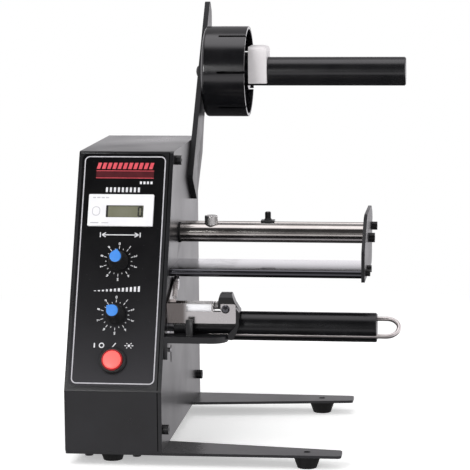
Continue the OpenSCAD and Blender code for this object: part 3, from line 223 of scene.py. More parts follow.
# powder grain: fine noise for the surface's tiny bumps, broad noise for its tone and gloss
def buildGrain():
    group, start, end = newGroup("surfaceGrain", [
        ("Vector", "NodeSocketVector", None), ("Colour", "NodeSocketColor", (0.5, 0.5, 0.5, 1)),
        ("Second Colour", "NodeSocketColor", (0.4, 0.4, 0.4, 1)),
        ("Grain Scale", "NodeSocketFloat", 1500.0), ("Tone Scale", "NodeSocketFloat", 30.0),
        ("Low Gloss", "NodeSocketFloat", 0.3), ("High Gloss", "NodeSocketFloat", 0.4)], [
        ("Colour", "NodeSocketColor"), ("Roughness", "NodeSocketFloat"),
        ("Height", "NodeSocketFloat")])
    links = group.links
    fine = addNode(group, "ShaderNodeTexNoise")
    fine.inputs["Detail"].default_value = 3
    fine.inputs["Roughness"].default_value = 0.6
    links.new(start.outputs["Vector"], fine.inputs["Vector"])
    links.new(start.outputs["Grain Scale"], fine.inputs["Scale"])
    broad = addNode(group, "ShaderNodeTexNoise")
    broad.inputs["Detail"].default_value = 4
    links.new(start.outputs["Vector"], broad.inputs["Vector"])
    links.new(start.outputs["Tone Scale"], broad.inputs["Scale"])
    tone = addNode(group, "ShaderNodeMapRange")
    tone.inputs["From Min"].default_value = 0.35
    tone.inputs["From Max"].default_value = 0.65
    links.new(broad.outputs[0], tone.inputs["Value"])
    mix = addNode(group, "ShaderNodeMix", data_type="RGBA")
    links.new(tone.outputs[0], mix.inputs[0])
    links.new(start.outputs["Colour"], mix.inputs[6])
    links.new(start.outputs["Second Colour"], mix.inputs[7])
    gloss = addNode(group, "ShaderNodeMapRange")
    gloss.inputs["From Min"].default_value = 0.3
    gloss.inputs["From Max"].default_value = 0.7
    links.new(broad.outputs[0], gloss.inputs["Value"])
    links.new(start.outputs["Low Gloss"], gloss.inputs["To Min"])
    links.new(start.outputs["High Gloss"], gloss.inputs["To Max"])
    links.new(mix.outputs[2], end.inputs["Colour"])
    links.new(gloss.outputs[0], end.inputs["Roughness"])
    links.new(fine.outputs[0], end.inputs["Height"])
    return group


# drawn metal: noise stretched along one axis makes fine lines, a broad noise makes smudges
def buildLines():
    group, start, end = newGroup("drawnLines", [
        ("Vector", "NodeSocketVector", None), ("Stretch", "NodeSocketVector", (1.0, 1.0, 1.0)),
        ("Colour", "NodeSocketColor", (0.6, 0.6, 0.6, 1)),
        ("Line Colour", "NodeSocketColor", (0.5, 0.5, 0.5, 1)),
        ("Line Scale", "NodeSocketFloat", 400.0),
        ("Low Gloss", "NodeSocketFloat", 0.15), ("High Gloss", "NodeSocketFloat", 0.3)], [
        ("Colour", "NodeSocketColor"), ("Roughness", "NodeSocketFloat"),
        ("Height", "NodeSocketFloat")])
    links = group.links
    stretched = addNode(group, "ShaderNodeVectorMath", operation="MULTIPLY")
    links.new(start.outputs["Vector"], stretched.inputs[0])
    links.new(start.outputs["Stretch"], stretched.inputs[1])
    lines = addNode(group, "ShaderNodeTexNoise")
    lines.inputs["Detail"].default_value = 5
    lines.inputs["Roughness"].default_value = 0.7
    links.new(stretched.outputs[0], lines.inputs["Vector"])
    links.new(start.outputs["Line Scale"], lines.inputs["Scale"])
    smudge = addNode(group, "ShaderNodeTexNoise")
    smudge.inputs["Scale"].default_value = 45
    smudge.inputs["Detail"].default_value = 3
    links.new(start.outputs["Vector"], smudge.inputs["Vector"])
    both = mathNode(group, "MULTIPLY", lines.outputs[0], smudge.outputs[0])
    level = addNode(group, "ShaderNodeMapRange")
    level.inputs["From Min"].default_value = 0.12
    level.inputs["From Max"].default_value = 0.4
    links.new(both, level.inputs["Value"])
    mix = addNode(group, "ShaderNodeMix", data_type="RGBA")
    links.new(level.outputs[0], mix.inputs[0])
    links.new(start.outputs["Line Colour"], mix.inputs[6])
    links.new(start.outputs["Colour"], mix.inputs[7])
    gloss = addNode(group, "ShaderNodeMapRange")
    gloss.inputs["From Min"].default_value = 0.12
    gloss.inputs["From Max"].default_value = 0.4
    links.new(both, gloss.inputs["Value"])
    links.new(start.outputs["Low Gloss"], gloss.inputs["To Min"])
    links.new(start.outputs["High Gloss"], gloss.inputs["To Max"])
    links.new(mix.outputs[2], end.inputs["Colour"])
    links.new(gloss.outputs[0], end.inputs["Roughness"])
    links.new(lines.outputs[0], end.inputs["Height"])
    return group


# specks: sparse cells of dust and lint, as a mask
def buildSpecks():
    group, start, end = newGroup("dustSpecks", [
        ("Vector", "NodeSocketVector", None), ("Scale", "NodeSocketFloat", 500.0),
        ("Size", "NodeSocketFloat", 0.12)], [("Mask", "NodeSocketFloat")])
    links = group.links
    cells = addNode(group, "ShaderNodeTexVoronoi")
    links.new(start.outputs["Vector"], cells.inputs["Vector"])
    links.new(start.outputs["Scale"], cells.inputs["Scale"])
    near = mathNode(group, "LESS_THAN", cells.outputs["Distance"], None)
    links.new(start.outputs["Size"], near.node.inputs[1])
    pick = addNode(group, "ShaderNodeSeparateColor")
    links.new(cells.outputs["Color"], pick.inputs[0])
    some = mathNode(group, "GREATER_THAN", pick.outputs[0], 0.86)
    links.new(mathNode(group, "MULTIPLY", near, some), end.inputs["Mask"])
    return group


grainGroup = buildGrain()
linesGroup = buildLines()
specksGroup = buildSpecks()


def startMaterial(name):
    material = bpy.data.materials.new(name)
    material.use_nodes = True
    tree = material.node_tree
    shader = tree.nodes["Principled BSDF"]
    place = addNode(tree, "ShaderNodeTexCoord")
    return material, tree, shader, place.outputs["Object"]


def grainMaterial(name, colour, second, gloss, grainScale=1500.0, toneScale=30.0, bump=0.02,
                  metallic=0.0, specular=0.5, coat=0.0, dust=0.0, ior=1.5):
    material, tree, shader, place = startMaterial(name)
    grain = addNode(tree, "ShaderNodeGroup", node_tree=grainGroup)
    tree.links.new(place, grain.inputs["Vector"])
    grain.inputs["Colour"].default_value = (*colour, 1)
    grain.inputs["Second Colour"].default_value = (*second, 1)
    grain.inputs["Grain Scale"].default_value = grainScale
    grain.inputs["Tone Scale"].default_value = toneScale
    grain.inputs["Low Gloss"].default_value = gloss[0]
    grain.inputs["High Gloss"].default_value = gloss[1]
    colourOut = grain.outputs["Colour"]
    if dust:
        specks = addNode(tree, "ShaderNodeGroup", node_tree=specksGroup)
        tree.links.new(place, specks.inputs["Vector"])
        specks.inputs["Scale"].default_value = 420
        specks.inputs["Size"].default_value = 0.09
        mix = addNode(tree, "ShaderNodeMix", data_type="RGBA")
        tree.links.new(mathNode(tree, "MULTIPLY", specks.outputs["Mask"], dust), mix.inputs[0])
        tree.links.new(colourOut, mix.inputs[6])
        mix.inputs[7].default_value = (0.4, 0.4, 0.42, 1)
        colourOut = mix.outputs[2]
    tree.links.new(colourOut, shader.inputs["Base Color"])
    tree.links.new(grain.outputs["Roughness"], shader.inputs["Roughness"])
    rise = addNode(tree, "ShaderNodeBump")
    rise.inputs["Strength"].default_value = bump
    rise.inputs["Distance"].default_value = 0.0002
    tree.links.new(grain.outputs["Height"], rise.inputs["Height"])
    tree.links.new(rise.outputs["Normal"], shader.inputs["Normal"])
    shader.inputs["Metallic"].default_value = metallic
    shader.inputs["Specular IOR Level"].default_value = specular
    shader.inputs["IOR"].default_value = ior
    shader.inputs["Coat Weight"].default_value = coat
    shader.inputs["Coat Roughness"].default_value = 0.08
    return material


def metalMaterial(name, colour, lineColour, gloss, stretch=(1, 30, 30), lineScale=60.0, bump=0.02):
    material, tree, shader, place = startMaterial(name)
    lines = addNode(tree, "ShaderNodeGroup", node_tree=linesGroup)
    tree.links.new(place, lines.inputs["Vector"])
    lines.inputs["Stretch"].default_value = stretch
    lines.inputs["Colour"].default_value = (*colour, 1)
    lines.inputs["Line Colour"].default_value = (*lineColour, 1)
    lines.inputs["Line Scale"].default_value = lineScale
    lines.inputs["Low Gloss"].default_value = gloss[0]
    lines.inputs["High Gloss"].default_value = gloss[1]
    tree.links.new(lines.outputs["Colour"], shader.inputs["Base Color"])
    tree.links.new(lines.outputs["Roughness"], shader.inputs["Roughness"])
    rise = addNode(tree, "ShaderNodeBump")
    rise.inputs["Strength"].default_value = bump
    rise.inputs["Distance"].default_value = 0.0001
    tree.links.new(lines.outputs["Height"], rise.inputs["Height"])
    tree.links.new(rise.outputs["Normal"], shader.inputs["Normal"])
    shader.inputs["Metallic"].default_value = 1.0
    return material


# paints, plastics and metals by name
finishes = {
    "blackPaint": grainMaterial("blackPaint", (0.007, 0.007, 0.008), (0.012, 0.012, 0.014),
                                (0.27, 0.34), grainScale=2600, toneScale=22, bump=0.06,
                                specular=0.58),
    "armPaint": grainMaterial("armPaint", (0.012, 0.012, 0.013), (0.018, 0.018, 0.02),
                              (0.3, 0.38), grainScale=2600, toneScale=26, bump=0.06,
                              specular=0.2),
    "legPaint": grainMaterial("legPaint", (0.009, 0.009, 0.01), (0.014, 0.014, 0.016),
                              (0.26, 0.34), grainScale=2400, toneScale=20, bump=0.05),
    "filmSkin": grainMaterial("filmSkin", (0.0015, 0.0015, 0.002), (0.003, 0.003, 0.0035),
                              (0.36, 0.44), grainScale=3500, toneScale=60, bump=0.03, dust=0.12,
                              specular=0.14),
    "footRubber": grainMaterial("footRubber", (0.005, 0.005, 0.005), (0.009, 0.009, 0.009),
                                (0.55, 0.7), grainScale=900, toneScale=120, bump=0.15),
    "blackOxide": grainMaterial("blackOxide", (0.007, 0.007, 0.008), (0.012, 0.012, 0.013),
                                (0.32, 0.45), grainScale=2500, toneScale=200, bump=0.1),
    "knobPlastic": grainMaterial("knobPlastic", (0.008, 0.008, 0.008), (0.013, 0.013, 0.014),
                                 (0.4, 0.5), grainScale=2500, toneScale=150, bump=0.05),
    "capBlue": grainMaterial("capBlue", (0.04, 0.21, 0.64), (0.05, 0.24, 0.7), (0.4, 0.5),
                             grainScale=1800, toneScale=180, bump=0.03),
    "counterPlastic": grainMaterial("counterPlastic", (0.74, 0.735, 0.76), (0.78, 0.775, 0.79),
                                    (0.3, 0.38), grainScale=2200, toneScale=70, bump=0.02),
    "printWhite": grainMaterial("printWhite", (0.62, 0.62, 0.65), (0.72, 0.72, 0.74), (0.5, 0.6),
                                grainScale=3000, toneScale=260, bump=0.02),
    "printGrey": grainMaterial("printGrey", (0.42, 0.41, 0.44), (0.5, 0.49, 0.52), (0.5, 0.6),
                               grainScale=3000, toneScale=300, bump=0.02),
    "printRed": grainMaterial("printRed", (0.56, 0.055, 0.075), (0.64, 0.08, 0.1), (0.5, 0.6),
                              grainScale=3000, toneScale=260, bump=0.02),
    "printDarkRed": grainMaterial("printDarkRed", (0.055, 0.004, 0.008), (0.075, 0.007, 0.011),
                                  (0.5, 0.6), grainScale=3000, toneScale=260, bump=0.02,
                                  specular=0.25),
    "seamShade": grainMaterial("seamShade", (0.001, 0.001, 0.001), (0.003, 0.003, 0.003),
                               (0.7, 0.8), specular=0.1),
    "displayGreen": grainMaterial("displayGreen", (0.15, 0.15, 0.105), (0.17, 0.17, 0.125),
                                  (0.18, 0.24), grainScale=1500, toneScale=90, bump=0.01),
    # the display's ink for its digit, also used for the painted shadow strips in the window's
    # recess
    "displayInkAndPaintedShade": grainMaterial("displayInkAndPaintedShade", (0.012, 0.012, 0.01), (0.02, 0.02, 0.018),
                                (0.3, 0.4), grainScale=2500, toneScale=200, bump=0.02),
    "glossBlack": grainMaterial("glossBlack", (0.003, 0.003, 0.004), (0.006, 0.006, 0.007),
                                (0.14, 0.22), grainScale=1200, toneScale=50, bump=0.02,
                                specular=0.9),
    "shaftBlack": grainMaterial("shaftBlack", (0.005, 0.005, 0.006), (0.008, 0.008, 0.009),
                                (0.2, 0.28), grainScale=1800, toneScale=40, bump=0.03,
                                specular=0.75),
    "rollerSleeve": grainMaterial("rollerSleeve", (0.003, 0.003, 0.0035), (0.005, 0.005, 0.006),
                                  (0.22, 0.3), grainScale=2200, toneScale=60, bump=0.06),
    "latchPlastic": grainMaterial("latchPlastic", (0.005, 0.005, 0.005), (0.009, 0.009, 0.01),
                                  (0.26, 0.36), grainScale=1800, toneScale=90, bump=0.05),
    "clipNylon": grainMaterial("clipNylon", (0.74, 0.71, 0.725), (0.8, 0.77, 0.785), (0.38, 0.48),
                               grainScale=1400, toneScale=80, bump=0.05),
    "boardGreen": grainMaterial("boardGreen", (0.02, 0.12, 0.05), (0.03, 0.16, 0.06), (0.3, 0.4)),
    "gearNylon": grainMaterial("gearNylon", (0.66, 0.65, 0.6), (0.72, 0.71, 0.66), (0.4, 0.5)),
    "coreSteel": grainMaterial("coreSteel", (0.16, 0.15, 0.14), (0.22, 0.2, 0.19), (0.45, 0.6),
                               metallic=0.8),
    "chrome": metalMaterial("chrome", (0.66, 0.63, 0.6), (0.5, 0.47, 0.44), (0.1, 0.18),
                            stretch=(3, 30, 30), lineScale=24, bump=0.012),
    "wireChrome": metalMaterial("wireChrome", (0.9, 0.85, 0.83), (0.78, 0.73, 0.71), (0.32, 0.42),
                                stretch=(2, 20, 20), lineScale=30, bump=0.01),
    "plateSteel": metalMaterial("plateSteel", (0.33, 0.33, 0.345), (0.24, 0.24, 0.255), (0.1, 0.18),
                                stretch=(1, 40, 40), lineScale=34, bump=0.015),
    "sheetSteel": metalMaterial("sheetSteel", (0.8, 0.78, 0.77), (0.7, 0.68, 0.67), (0.2, 0.3),
                                stretch=(40, 4, 4), lineScale=30, bump=0.02),
    "zincSteel": metalMaterial("zincSteel", (0.62, 0.62, 0.63), (0.5, 0.5, 0.52), (0.25, 0.4),
                               stretch=(6, 6, 6), lineScale=50, bump=0.03),
    "knurlSteel": metalMaterial("knurlSteel", (0.74, 0.73, 0.71), (0.6, 0.59, 0.57), (0.2, 0.32),
                                stretch=(10, 10, 2), lineScale=60, bump=0.02),
    "brass": metalMaterial("brass", (0.72, 0.55, 0.27), (0.6, 0.45, 0.2), (0.2, 0.34),
                           stretch=(6, 6, 6), lineScale=50, bump=0.02),
}


# a finish's nodes that a mask needs: its tree, its object coordinates and their three parts
def openFinish(name):
    tree = finishes[name].node_tree
    place = next(node for node in tree.nodes if node.type == "TEX_COORD").outputs["Object"]
    split = addNode(tree, "ShaderNodeSeparateXYZ")
    tree.links.new(place, split.inputs[0])
    return tree, place, split.outputs


# lays one plain colour over a finish's own, by a mask from 0 to 1
def colourOver(tree, mask, colour):
    shader = tree.nodes["Principled BSDF"]
    before = shader.inputs["Base Color"].links[0].from_socket
    mix = addNode(tree, "ShaderNodeMix", data_type="RGBA")
    tree.links.new(mask, mix.inputs[0])
    tree.links.new(before, mix.inputs[6])
    mix.inputs[7].default_value = (*colour, 1)
    tree.links.new(mix.outputs[2], shader.inputs["Base Color"])


# places and widths in metres
# painted dark reflections on the peel plate: a band along its front nose and a patch on its top
platePaintedReflections = {"noseDeep": 0.0016, "noseBlend": 0.0008, "noseReflectionColour": (0.1, 0.1, 0.11),
              "reflectionFrom": -0.034, "reflectionTo": 0.0, "reflectionBlend": 0.006, "mottleScale": 140,
              "mottleLow": 0.25, "mottleHigh": 0.6, "reflectionColour": (0.13, 0.13, 0.14)}
# painted dark reflection of the console on the pinch bracket's left part
bracketPaintedReflection = {"wide": 0.0135, "blend": 0.005, "colour": (0.22, 0.2, 0.19)}
# painted light on the film's lower end
filmPaintedLight = {"low": 0.055, "high": 0.217, "power": 3.0, "colour": (0.036, 0.035, 0.039)}


# paints a dark reflection on a metal finish where one coordinate of the frame lies under an edge
def shadeBelow(name, axis, edge, blend, colour):
    tree, place, parts = openFinish(name)
    above = smoothStep(tree, parts[axis], edge - blend / 2, edge + blend / 2)
    colourOver(tree, mathNode(tree, "SUBTRACT", 1.0, above), colour)


# a painted reflection of the dark console on the peel plate between two places along x, broken up
# by a broad noise
def smudgePatch():
    tree, place, parts = openFinish("plateSteel")
    low, high, blend = platePaintedReflections["reflectionFrom"], platePaintedReflections["reflectionTo"], platePaintedReflections["reflectionBlend"]
    inside = mathNode(tree, "SUBTRACT", smoothStep(tree, parts[0], low, low + blend),
                      smoothStep(tree, parts[0], high - blend, high))
    mottle = addNode(tree, "ShaderNodeTexNoise")
    mottle.inputs["Scale"].default_value = platePaintedReflections["mottleScale"]
    mottle.inputs["Detail"].default_value = 3
    tree.links.new(place, mottle.inputs["Vector"])
    level = addNode(tree, "ShaderNodeMapRange")
    level.inputs["From Min"].default_value = platePaintedReflections["mottleLow"]
    level.inputs["From Max"].default_value = platePaintedReflections["mottleHigh"]
    tree.links.new(mottle.outputs[0], level.inputs["Value"])
    colourOver(tree, mathNode(tree, "MULTIPLY", inside, level.outputs[0]),
               platePaintedReflections["reflectionColour"])


# painted light: the printed film is painted lighter towards its lower edge by a cubed ramp down its
# height
def wearDown():
    tree, place, parts = openFinish("filmSkin")
    ramp = addNode(tree, "ShaderNodeMapRange")
    tree.links.new(parts[2], ramp.inputs["Value"])
    ramp.inputs["From Min"].default_value = filmPaintedLight["high"]
    ramp.inputs["From Max"].default_value = filmPaintedLight["low"]
    colourOver(tree, mathNode(tree, "POWER", ramp.outputs[0], filmPaintedLight["power"]),
               filmPaintedLight["colour"])


# painted dark reflection along the peel plate's front nose
shadeBelow("plateSteel", 1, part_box("peel_plate")[0][1] + platePaintedReflections["noseDeep"],
           platePaintedReflections["noseBlend"], platePaintedReflections["noseReflectionColour"])
# painted reflection of the console on the peel plate's top
smudgePatch()
# painted dark reflection of the console on the pinch bracket's left part
shadeBelow("sheetSteel", 0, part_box("pinch_bracket")[0][0] + bracketPaintedReflection["wide"],
           bracketPaintedReflection["blend"], bracketPaintedReflection["colour"])
# painted light on the film's lower end
wearDown()


# the lit lens: red plastic with a pink glow, shifted a little towards a paler pink by the grain's
# fine noise
lens = {"glow": (1.0, 0.135, 0.125), "rim": (0.22, 0.004, 0.006), "strength": 0.62}


def lensMaterial():
    material, tree, shader, place = startMaterial("lensRed")
    grain = addNode(tree, "ShaderNodeGroup", node_tree=grainGroup)
    tree.links.new(place, grain.inputs["Vector"])
    grain.inputs["Colour"].default_value = (0.85, 0.1, 0.09, 1)
    grain.inputs["Second Colour"].default_value = (0.8, 0.08, 0.07, 1)
    grain.inputs["Grain Scale"].default_value = 900
    grain.inputs["Low Gloss"].default_value = 0.25
    grain.inputs["High Gloss"].default_value = 0.35
    tree.links.new(grain.outputs["Colour"], shader.inputs["Base Color"])
    tree.links.new(grain.outputs["Roughness"], shader.inputs["Roughness"])
    mix = addNode(tree, "ShaderNodeMix", data_type="RGBA")
    tree.links.new(mathNode(tree, "MULTIPLY", grain.outputs["Height"], 0.12), mix.inputs[0])
    mix.inputs[6].default_value = (*lens["glow"], 1)
    mix.inputs[7].default_value = (1.0, 0.2, 0.18, 1)
    tree.links.new(mix.outputs[2], shader.inputs["Emission Color"])
    shader.inputs["Emission Strength"].default_value = lens["strength"]
    return material


finishes["lensRed"] = lensMaterial()

finishes["lensRim"] = grainMaterial("lensRim", (0.3, 0.01, 0.012), (0.36, 0.014, 0.016),
                                    (0.25, 0.35), grainScale=1500, bump=0.02)
print("stage: finishes made,", len(finishes))


def dress(piece, finish):
    piece.data.materials.clear()
    piece.data.materials.append(finishes[finish])
    return piece


def addPiece(piece, body, finish, replaced=()):
    dress(piece, finish)
    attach(piece, body)
    if replaced:
        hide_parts(*replaced)
    return piece


# CAD nodes that keep their shape
nodeFinish = {
    "feet": "footRubber", "base_screws": "blackOxide", "screw_lugs": "zincSteel",
    "side_screws": "blackOxide", "face_film": "filmSkin", "counter_body": "counterPlastic",
    "length_pot": "brass", "length_shaft": "zincSteel", "speed_pot": "brass",
    "speed_shaft": "zincSteel", "button_bezel": "knobPlastic", "control_board": "boardGreen",
    "transformer": "coreSteel", "power_inlet": "latchPlastic", "fuse_holder": "latchPlastic",
    "gear_motor": "zincSteel", "motor_plate": "zincSteel", "spacers": "zincSteel",
    "motor_pinion": "brass", "roller_gear": "gearNylon", "drive_shaft": "zincSteel",
    "bearing_housing": "zincSteel", "ball_bearings": "zincSteel", "arm_screws": "blackOxide",
    "supply_shaft": "shaftBlack", "shaft_screw": "blackOxide", "supply_hub": "glossBlack",
    "guide_bar": "chrome", "bar_washer": "footRubber", "rear_rod": "chrome",
    "edge_guide": "latchPlastic", "end_screws": "blackOxide", "inner_screws": "zincSteel",
    "rewind_roller": "rollerSleeve", "wire_clip": "wireChrome", "bracket_pivot": "zincSteel",
    "pinch_roller": "counterPlastic", "pinch_axle": "zincSteel", "latch_pin": "plateSteel",
    "pinch_spring": "wireChrome", "counter_window": "displayGreen", "length_knob": "knobPlastic",
    "length_cap": "capBlue", "speed_knob": "knobPlastic", "speed_cap": "capBlue",
    "power_button": "lensRed", "stop_screw": "knurlSteel",
}
for nodeName, finish in nodeFinish.items():
    dress(nodes[nodeName], finish)

# CAD nodes given the small edge radius of the real pieces
softened = {
    "base_plate": ("basePlateBody", "legPaint", "black_paint", "machine", 0.35),
    "front_panel": ("frontPanelBody", "blackPaint", "black_paint", "machine", 0.35),
    "cover": ("coverBody", "blackPaint", "black_paint", "machine", 0.35),
    "side_plate": ("sidePlateBody", "blackPaint", "black_paint", "machine", 0.55),
    "supply_arm": ("supplyArmBody", "armPaint", "arm_paint", "machine", 0.4),
    "end_plate": ("endPlateBody", "armPaint", "arm_paint", "machine", 0.4),
    "peel_plate": ("peelPlateBody", "plateSteel", "satin_steel", "machine", 0.3),
    "support_tray": ("supportTrayBody", "blackPaint", "black_paint", "machine", 0.4),
    "counter_bezel": ("counterBezelBody", "counterPlastic", "white_plastic", "machine", 0.35),
    "pinch_bracket": ("pinchBracketBody", "sheetSteel", "satin_steel", "bracket", 0.2),
    "latch_lever": ("latchLeverBody", "latchPlastic", "dark_plastic", "latch", 0.3),
    "lock_clip": ("lockClipBody", "clipNylon", "clip_white", "core_lock", 0.4),
}


# a merged copy of a node's mesh, its flat faces joined, with a live bevel on its sharp edges
def softenedCopy(nodeName, pieceName, finish, body, width):
    work = bmesh.new()
    work.from_mesh(nodes[nodeName].data)
    bmesh.ops.remove_doubles(work, verts=work.verts, dist=1e-6)
    bmesh.ops.dissolve_limit(work, angle_limit=math.radians(0.4), verts=work.verts,
                             edges=work.edges, use_dissolve_boundaries=False)
    mesh = bpy.data.meshes.new(pieceName)
    work.to_mesh(mesh)
    work.free()
    mesh.polygons.foreach_set("use_smooth", np.ones(len(mesh.polygons), bool))
    mesh.set_sharp_from_angle(angle=math.radians(50))
    piece = bpy.data.objects.new(pieceName, mesh)
    bpy.context.scene.collection.objects.link(piece)
    bevel = piece.modifiers.new("edgeRadius", "BEVEL")
    bevel.width = width / 1000
    bevel.segments = 2
    bevel.limit_method = "ANGLE"
    bevel.angle_limit = math.radians(38)
    bevel.harden_normals = True
    bevel.miter_outer = "MITER_ARC"
    return addPiece(piece, body, finish, (nodeName,))


for nodeName, (pieceName, finish, slotName, body, width) in softened.items():
    softenedCopy(nodeName, pieceName, finish, body, width)
print("stage: edges softened")

# the thin line printed round the face
frameLine = {"x0": 4.9, "x1": 64.2, "v0": 5.6, "v1": 174.4, "radius": 3.4, "width": 0.8}
outline, normal = roundOutline(frameLine["x0"], frameLine["x1"], frameLine["v0"],
                               frameLine["v1"], frameLine["radius"])
addPiece(bandOnFace("frameLine", outline, normal, frameLine["width"], face["film"], 0.05),
         "machine", "printGrey")

# title band: slanted red bars over a dark red field between two thin lines
titleBand = {"x0": 13.6, "x1": 56.2, "barLow": 165.0, "barHigh": 169.8, "bars": 11, "slant": 1.6,
             "fieldLow": 158.4, "fieldHigh": 163.4, "line": 0.45}


def titleBars():
    step = (titleBand["x1"] - titleBand["x0"]) / titleBand["bars"]
    left = titleBand["x0"] + step * np.arange(titleBand["bars"])
    wide = step * 0.66
    low, high, slant = titleBand["barLow"], titleBand["barHigh"], titleBand["slant"]
    corners = np.stack([np.stack([left, np.full_like(left, low)], -1),
                        np.stack([left + wide, np.full_like(left, low)], -1),
                        np.stack([left + wide + slant * 0.8, np.full_like(left, high)], -1),
                        np.stack([left + slant * 0.8, np.full_like(left, high)], -1)], 1)
    return slabsOnFace("titleBars", corners, face["film"])


def rectangles(items):
    items = np.asarray(items, float)
    x0, x1, v0, v1 = items.T
    return np.stack([np.stack([x0, v0], -1), np.stack([x1, v0], -1), np.stack([x1, v1], -1),
                     np.stack([x0, v1], -1)], 1)


addPiece(titleBars(), "machine", "printRed")
addPiece(slabsOnFace("titleField", rectangles([[titleBand["x0"], titleBand["x1"],
                                                titleBand["fieldLow"], titleBand["fieldHigh"]]]),
                     face["film"], 0.03), "machine", "printDarkRed")
addPiece(slabsOnFace("titleLines", rectangles([
    [titleBand["x0"], titleBand["x1"], titleBand["fieldLow"] - titleBand["line"],
     titleBand["fieldLow"]],
    [titleBand["x0"], titleBand["x1"], titleBand["fieldHigh"],
     titleBand["fieldHigh"] + titleBand["line"]]]), face["film"], 0.05),
    "machine", "printRed")

# plain signs over the controls: strokes given as [x0, v0, x1, v1, width]
signs = {
    "counterSign": [[22.2 + 2.95 * k, 147.4, 22.2 + 2.95 * k, 151.0, 1.5] for k in range(9)],
    "titleMarks": [[47.0 + 2.6 * k, 153.6, 47.0 + 2.6 * k, 155.6, 1.5] for k in range(4)],
    "lengthSign": [[20.6, 115.1, 47.4, 115.1, 0.7], [20.6, 115.1, 23.4, 116.7, 0.7],
                   [20.6, 115.1, 23.4, 113.5, 0.7], [47.4, 115.1, 44.6, 116.7, 0.7],
                   [47.4, 115.1, 44.6, 113.5, 0.7], [19.4, 113.3, 19.4, 116.9, 0.7],
                   [48.6, 113.3, 48.6, 116.9, 0.7]],
    "speedSign": [[18.0 + 2.9 * k, 72.9, 18.0 + 2.9 * k, 73.4 + 0.32 * k, 1.5] for k in range(12)],
    "lightSign": [[20.0, 31.5, 20.0, 34.9, 0.9], [32.6, 31.4, 35.4, 35.0, 0.8]]
    + [[45.0 + 1.9 * math.cos(a), 33.2 + 1.6 * math.sin(a),
        45.0 + 3.2 * math.cos(a), 33.2 + 2.2 * math.sin(a), 0.6]
       for a in np.radians([0, 55, 125, 180, 235, 305])],
}


def strokeCorners(strokes):
    strokes = np.asarray(strokes, float)
    a, b, width = strokes[:, 0:2], strokes[:, 2:4], strokes[:, 4:5]
    along = (b - a) / np.linalg.norm(b - a, axis=1, keepdims=True)
    aside = np.stack([-along[:, 1], along[:, 0]], -1) * width / 2
    return np.stack([a - aside, b - aside, b + aside, a + aside], 1)


for signName, strokes in signs.items():
    addPiece(slabsOnFace(signName, strokeCorners(strokes), face["film"]), "machine", "printWhite")

# the ring beside the light sign's bar, and its small lamp
ringSteps = np.linspace(0, 2 * np.pi, 40, endpoint=False)


def ringOutline(x, v, radius):
    normalOut = np.stack([np.cos(ringSteps), np.sin(ringSteps)], -1)
    return np.array([x, v]) + radius * normalOut, normalOut


for ringName, ringX, ringRadius, ringWidth in (("offRing", 25.2, 1.6, 0.75),
                                               ("lampDisc", 45.0, 0.5, 0.9)):
    outline, normal = ringOutline(ringX, 33.2, ringRadius)
    addPiece(bandOnFace(ringName, outline, normal, ringWidth, face["film"], 0.05), "machine",
             "printWhite")
print("stage: signs printed")

# dial scales: ten long and ten short ticks, and the numbers 0 to 9 turned outwards
scale = {"longIn": 9.3, "longOut": 11.3, "shortIn": 8.9, "shortOut": 9.9, "tickWidth": 0.42,
         "numberRadius": 13.1, "numberSize": 2.9}


def scaleTicks(name, v):
    k = np.arange(20)
    angle = k * np.pi / 10
    inner = np.where(k % 2 == 0, scale["longIn"], scale["shortIn"])
    outer = np.where(k % 2 == 0, scale["longOut"], scale["shortOut"])
    direction = np.stack([np.sin(angle), np.cos(angle)], -1)
    centre = np.array([face["dialX"], v])
    a, b = centre + direction * inner[:, None], centre + direction * outer[:, None]
    strokes = np.concatenate([a, b, np.full((20, 1), scale["tickWidth"])], 1)
    return slabsOnFace(name, strokeCorners(strokes), face["film"])


# the outline of one digit as triangles in its own plane, from the built-in font
def digitMesh(text):
    curve = bpy.data.curves.new("digit", "FONT")
    curve.body = text
    curve.size = 1.0
    curve.align_x = "CENTER"
    curve.align_y = "CENTER"
    curve.extrude = 0.02
    curve.offset = 0.022
    curve.resolution_u = 4
    holder = bpy.data.objects.new("digit", curve)
    bpy.context.scene.collection.objects.link(holder)
    bpy.context.view_layer.update()
    evaluated = holder.evaluated_get(bpy.context.evaluated_depsgraph_get())
    mesh = bpy.data.meshes.new_from_object(evaluated)
    mesh.calc_loop_triangles()
    points = np.zeros(len(mesh.vertices) * 3, np.float32)
    mesh.vertices.foreach_get("co", points)
    triangles = np.zeros(len(mesh.loop_triangles) * 3, np.int32)
    mesh.loop_triangles.foreach_get("vertices", triangles)
    bpy.data.objects.remove(holder)
    bpy.data.curves.remove(curve)
    bpy.data.meshes.remove(mesh)
    return points.reshape(-1, 3), triangles.reshape(-1, 3)


digits = [digitMesh(str(k)) for k in range(10)]


def scaleNumbers(name, v):
    pointSets, triangleSets, count = [], [], 0
    for k, (points, triangles) in enumerate(digits):
        angle = k * math.pi / 5
        size = scale["numberSize"]
        across, up = points[:, 0] * size, (points[:, 1] - points[:, 1].mean()) * size
        middle = np.array([face["dialX"] + scale["numberRadius"] * math.sin(angle),
                           v + scale["numberRadius"] * math.cos(angle)])
        x = middle[0] + across * math.cos(angle) + up * math.sin(angle)
        y = middle[1] - across * math.sin(angle) + up * math.cos(angle)
        pointSets.append(onFace(x, y, face["film"] + 0.025 + points[:, 2]))
        triangleSets.append(triangles + count)
        count += len(points)
    return meshFromArrays(name, np.concatenate(pointSets), np.zeros((0, 4)),
                          np.concatenate(triangleSets))


for dialName, dialV in (("length", face["lengthV"]), ("speed", face["speedV"])):
    addPiece(scaleTicks(dialName + "Ticks", dialV), "machine", "printWhite")
    addPiece(scaleNumbers(dialName + "Numbers", dialV), "machine", "printWhite")
print("stage: dial scales printed")

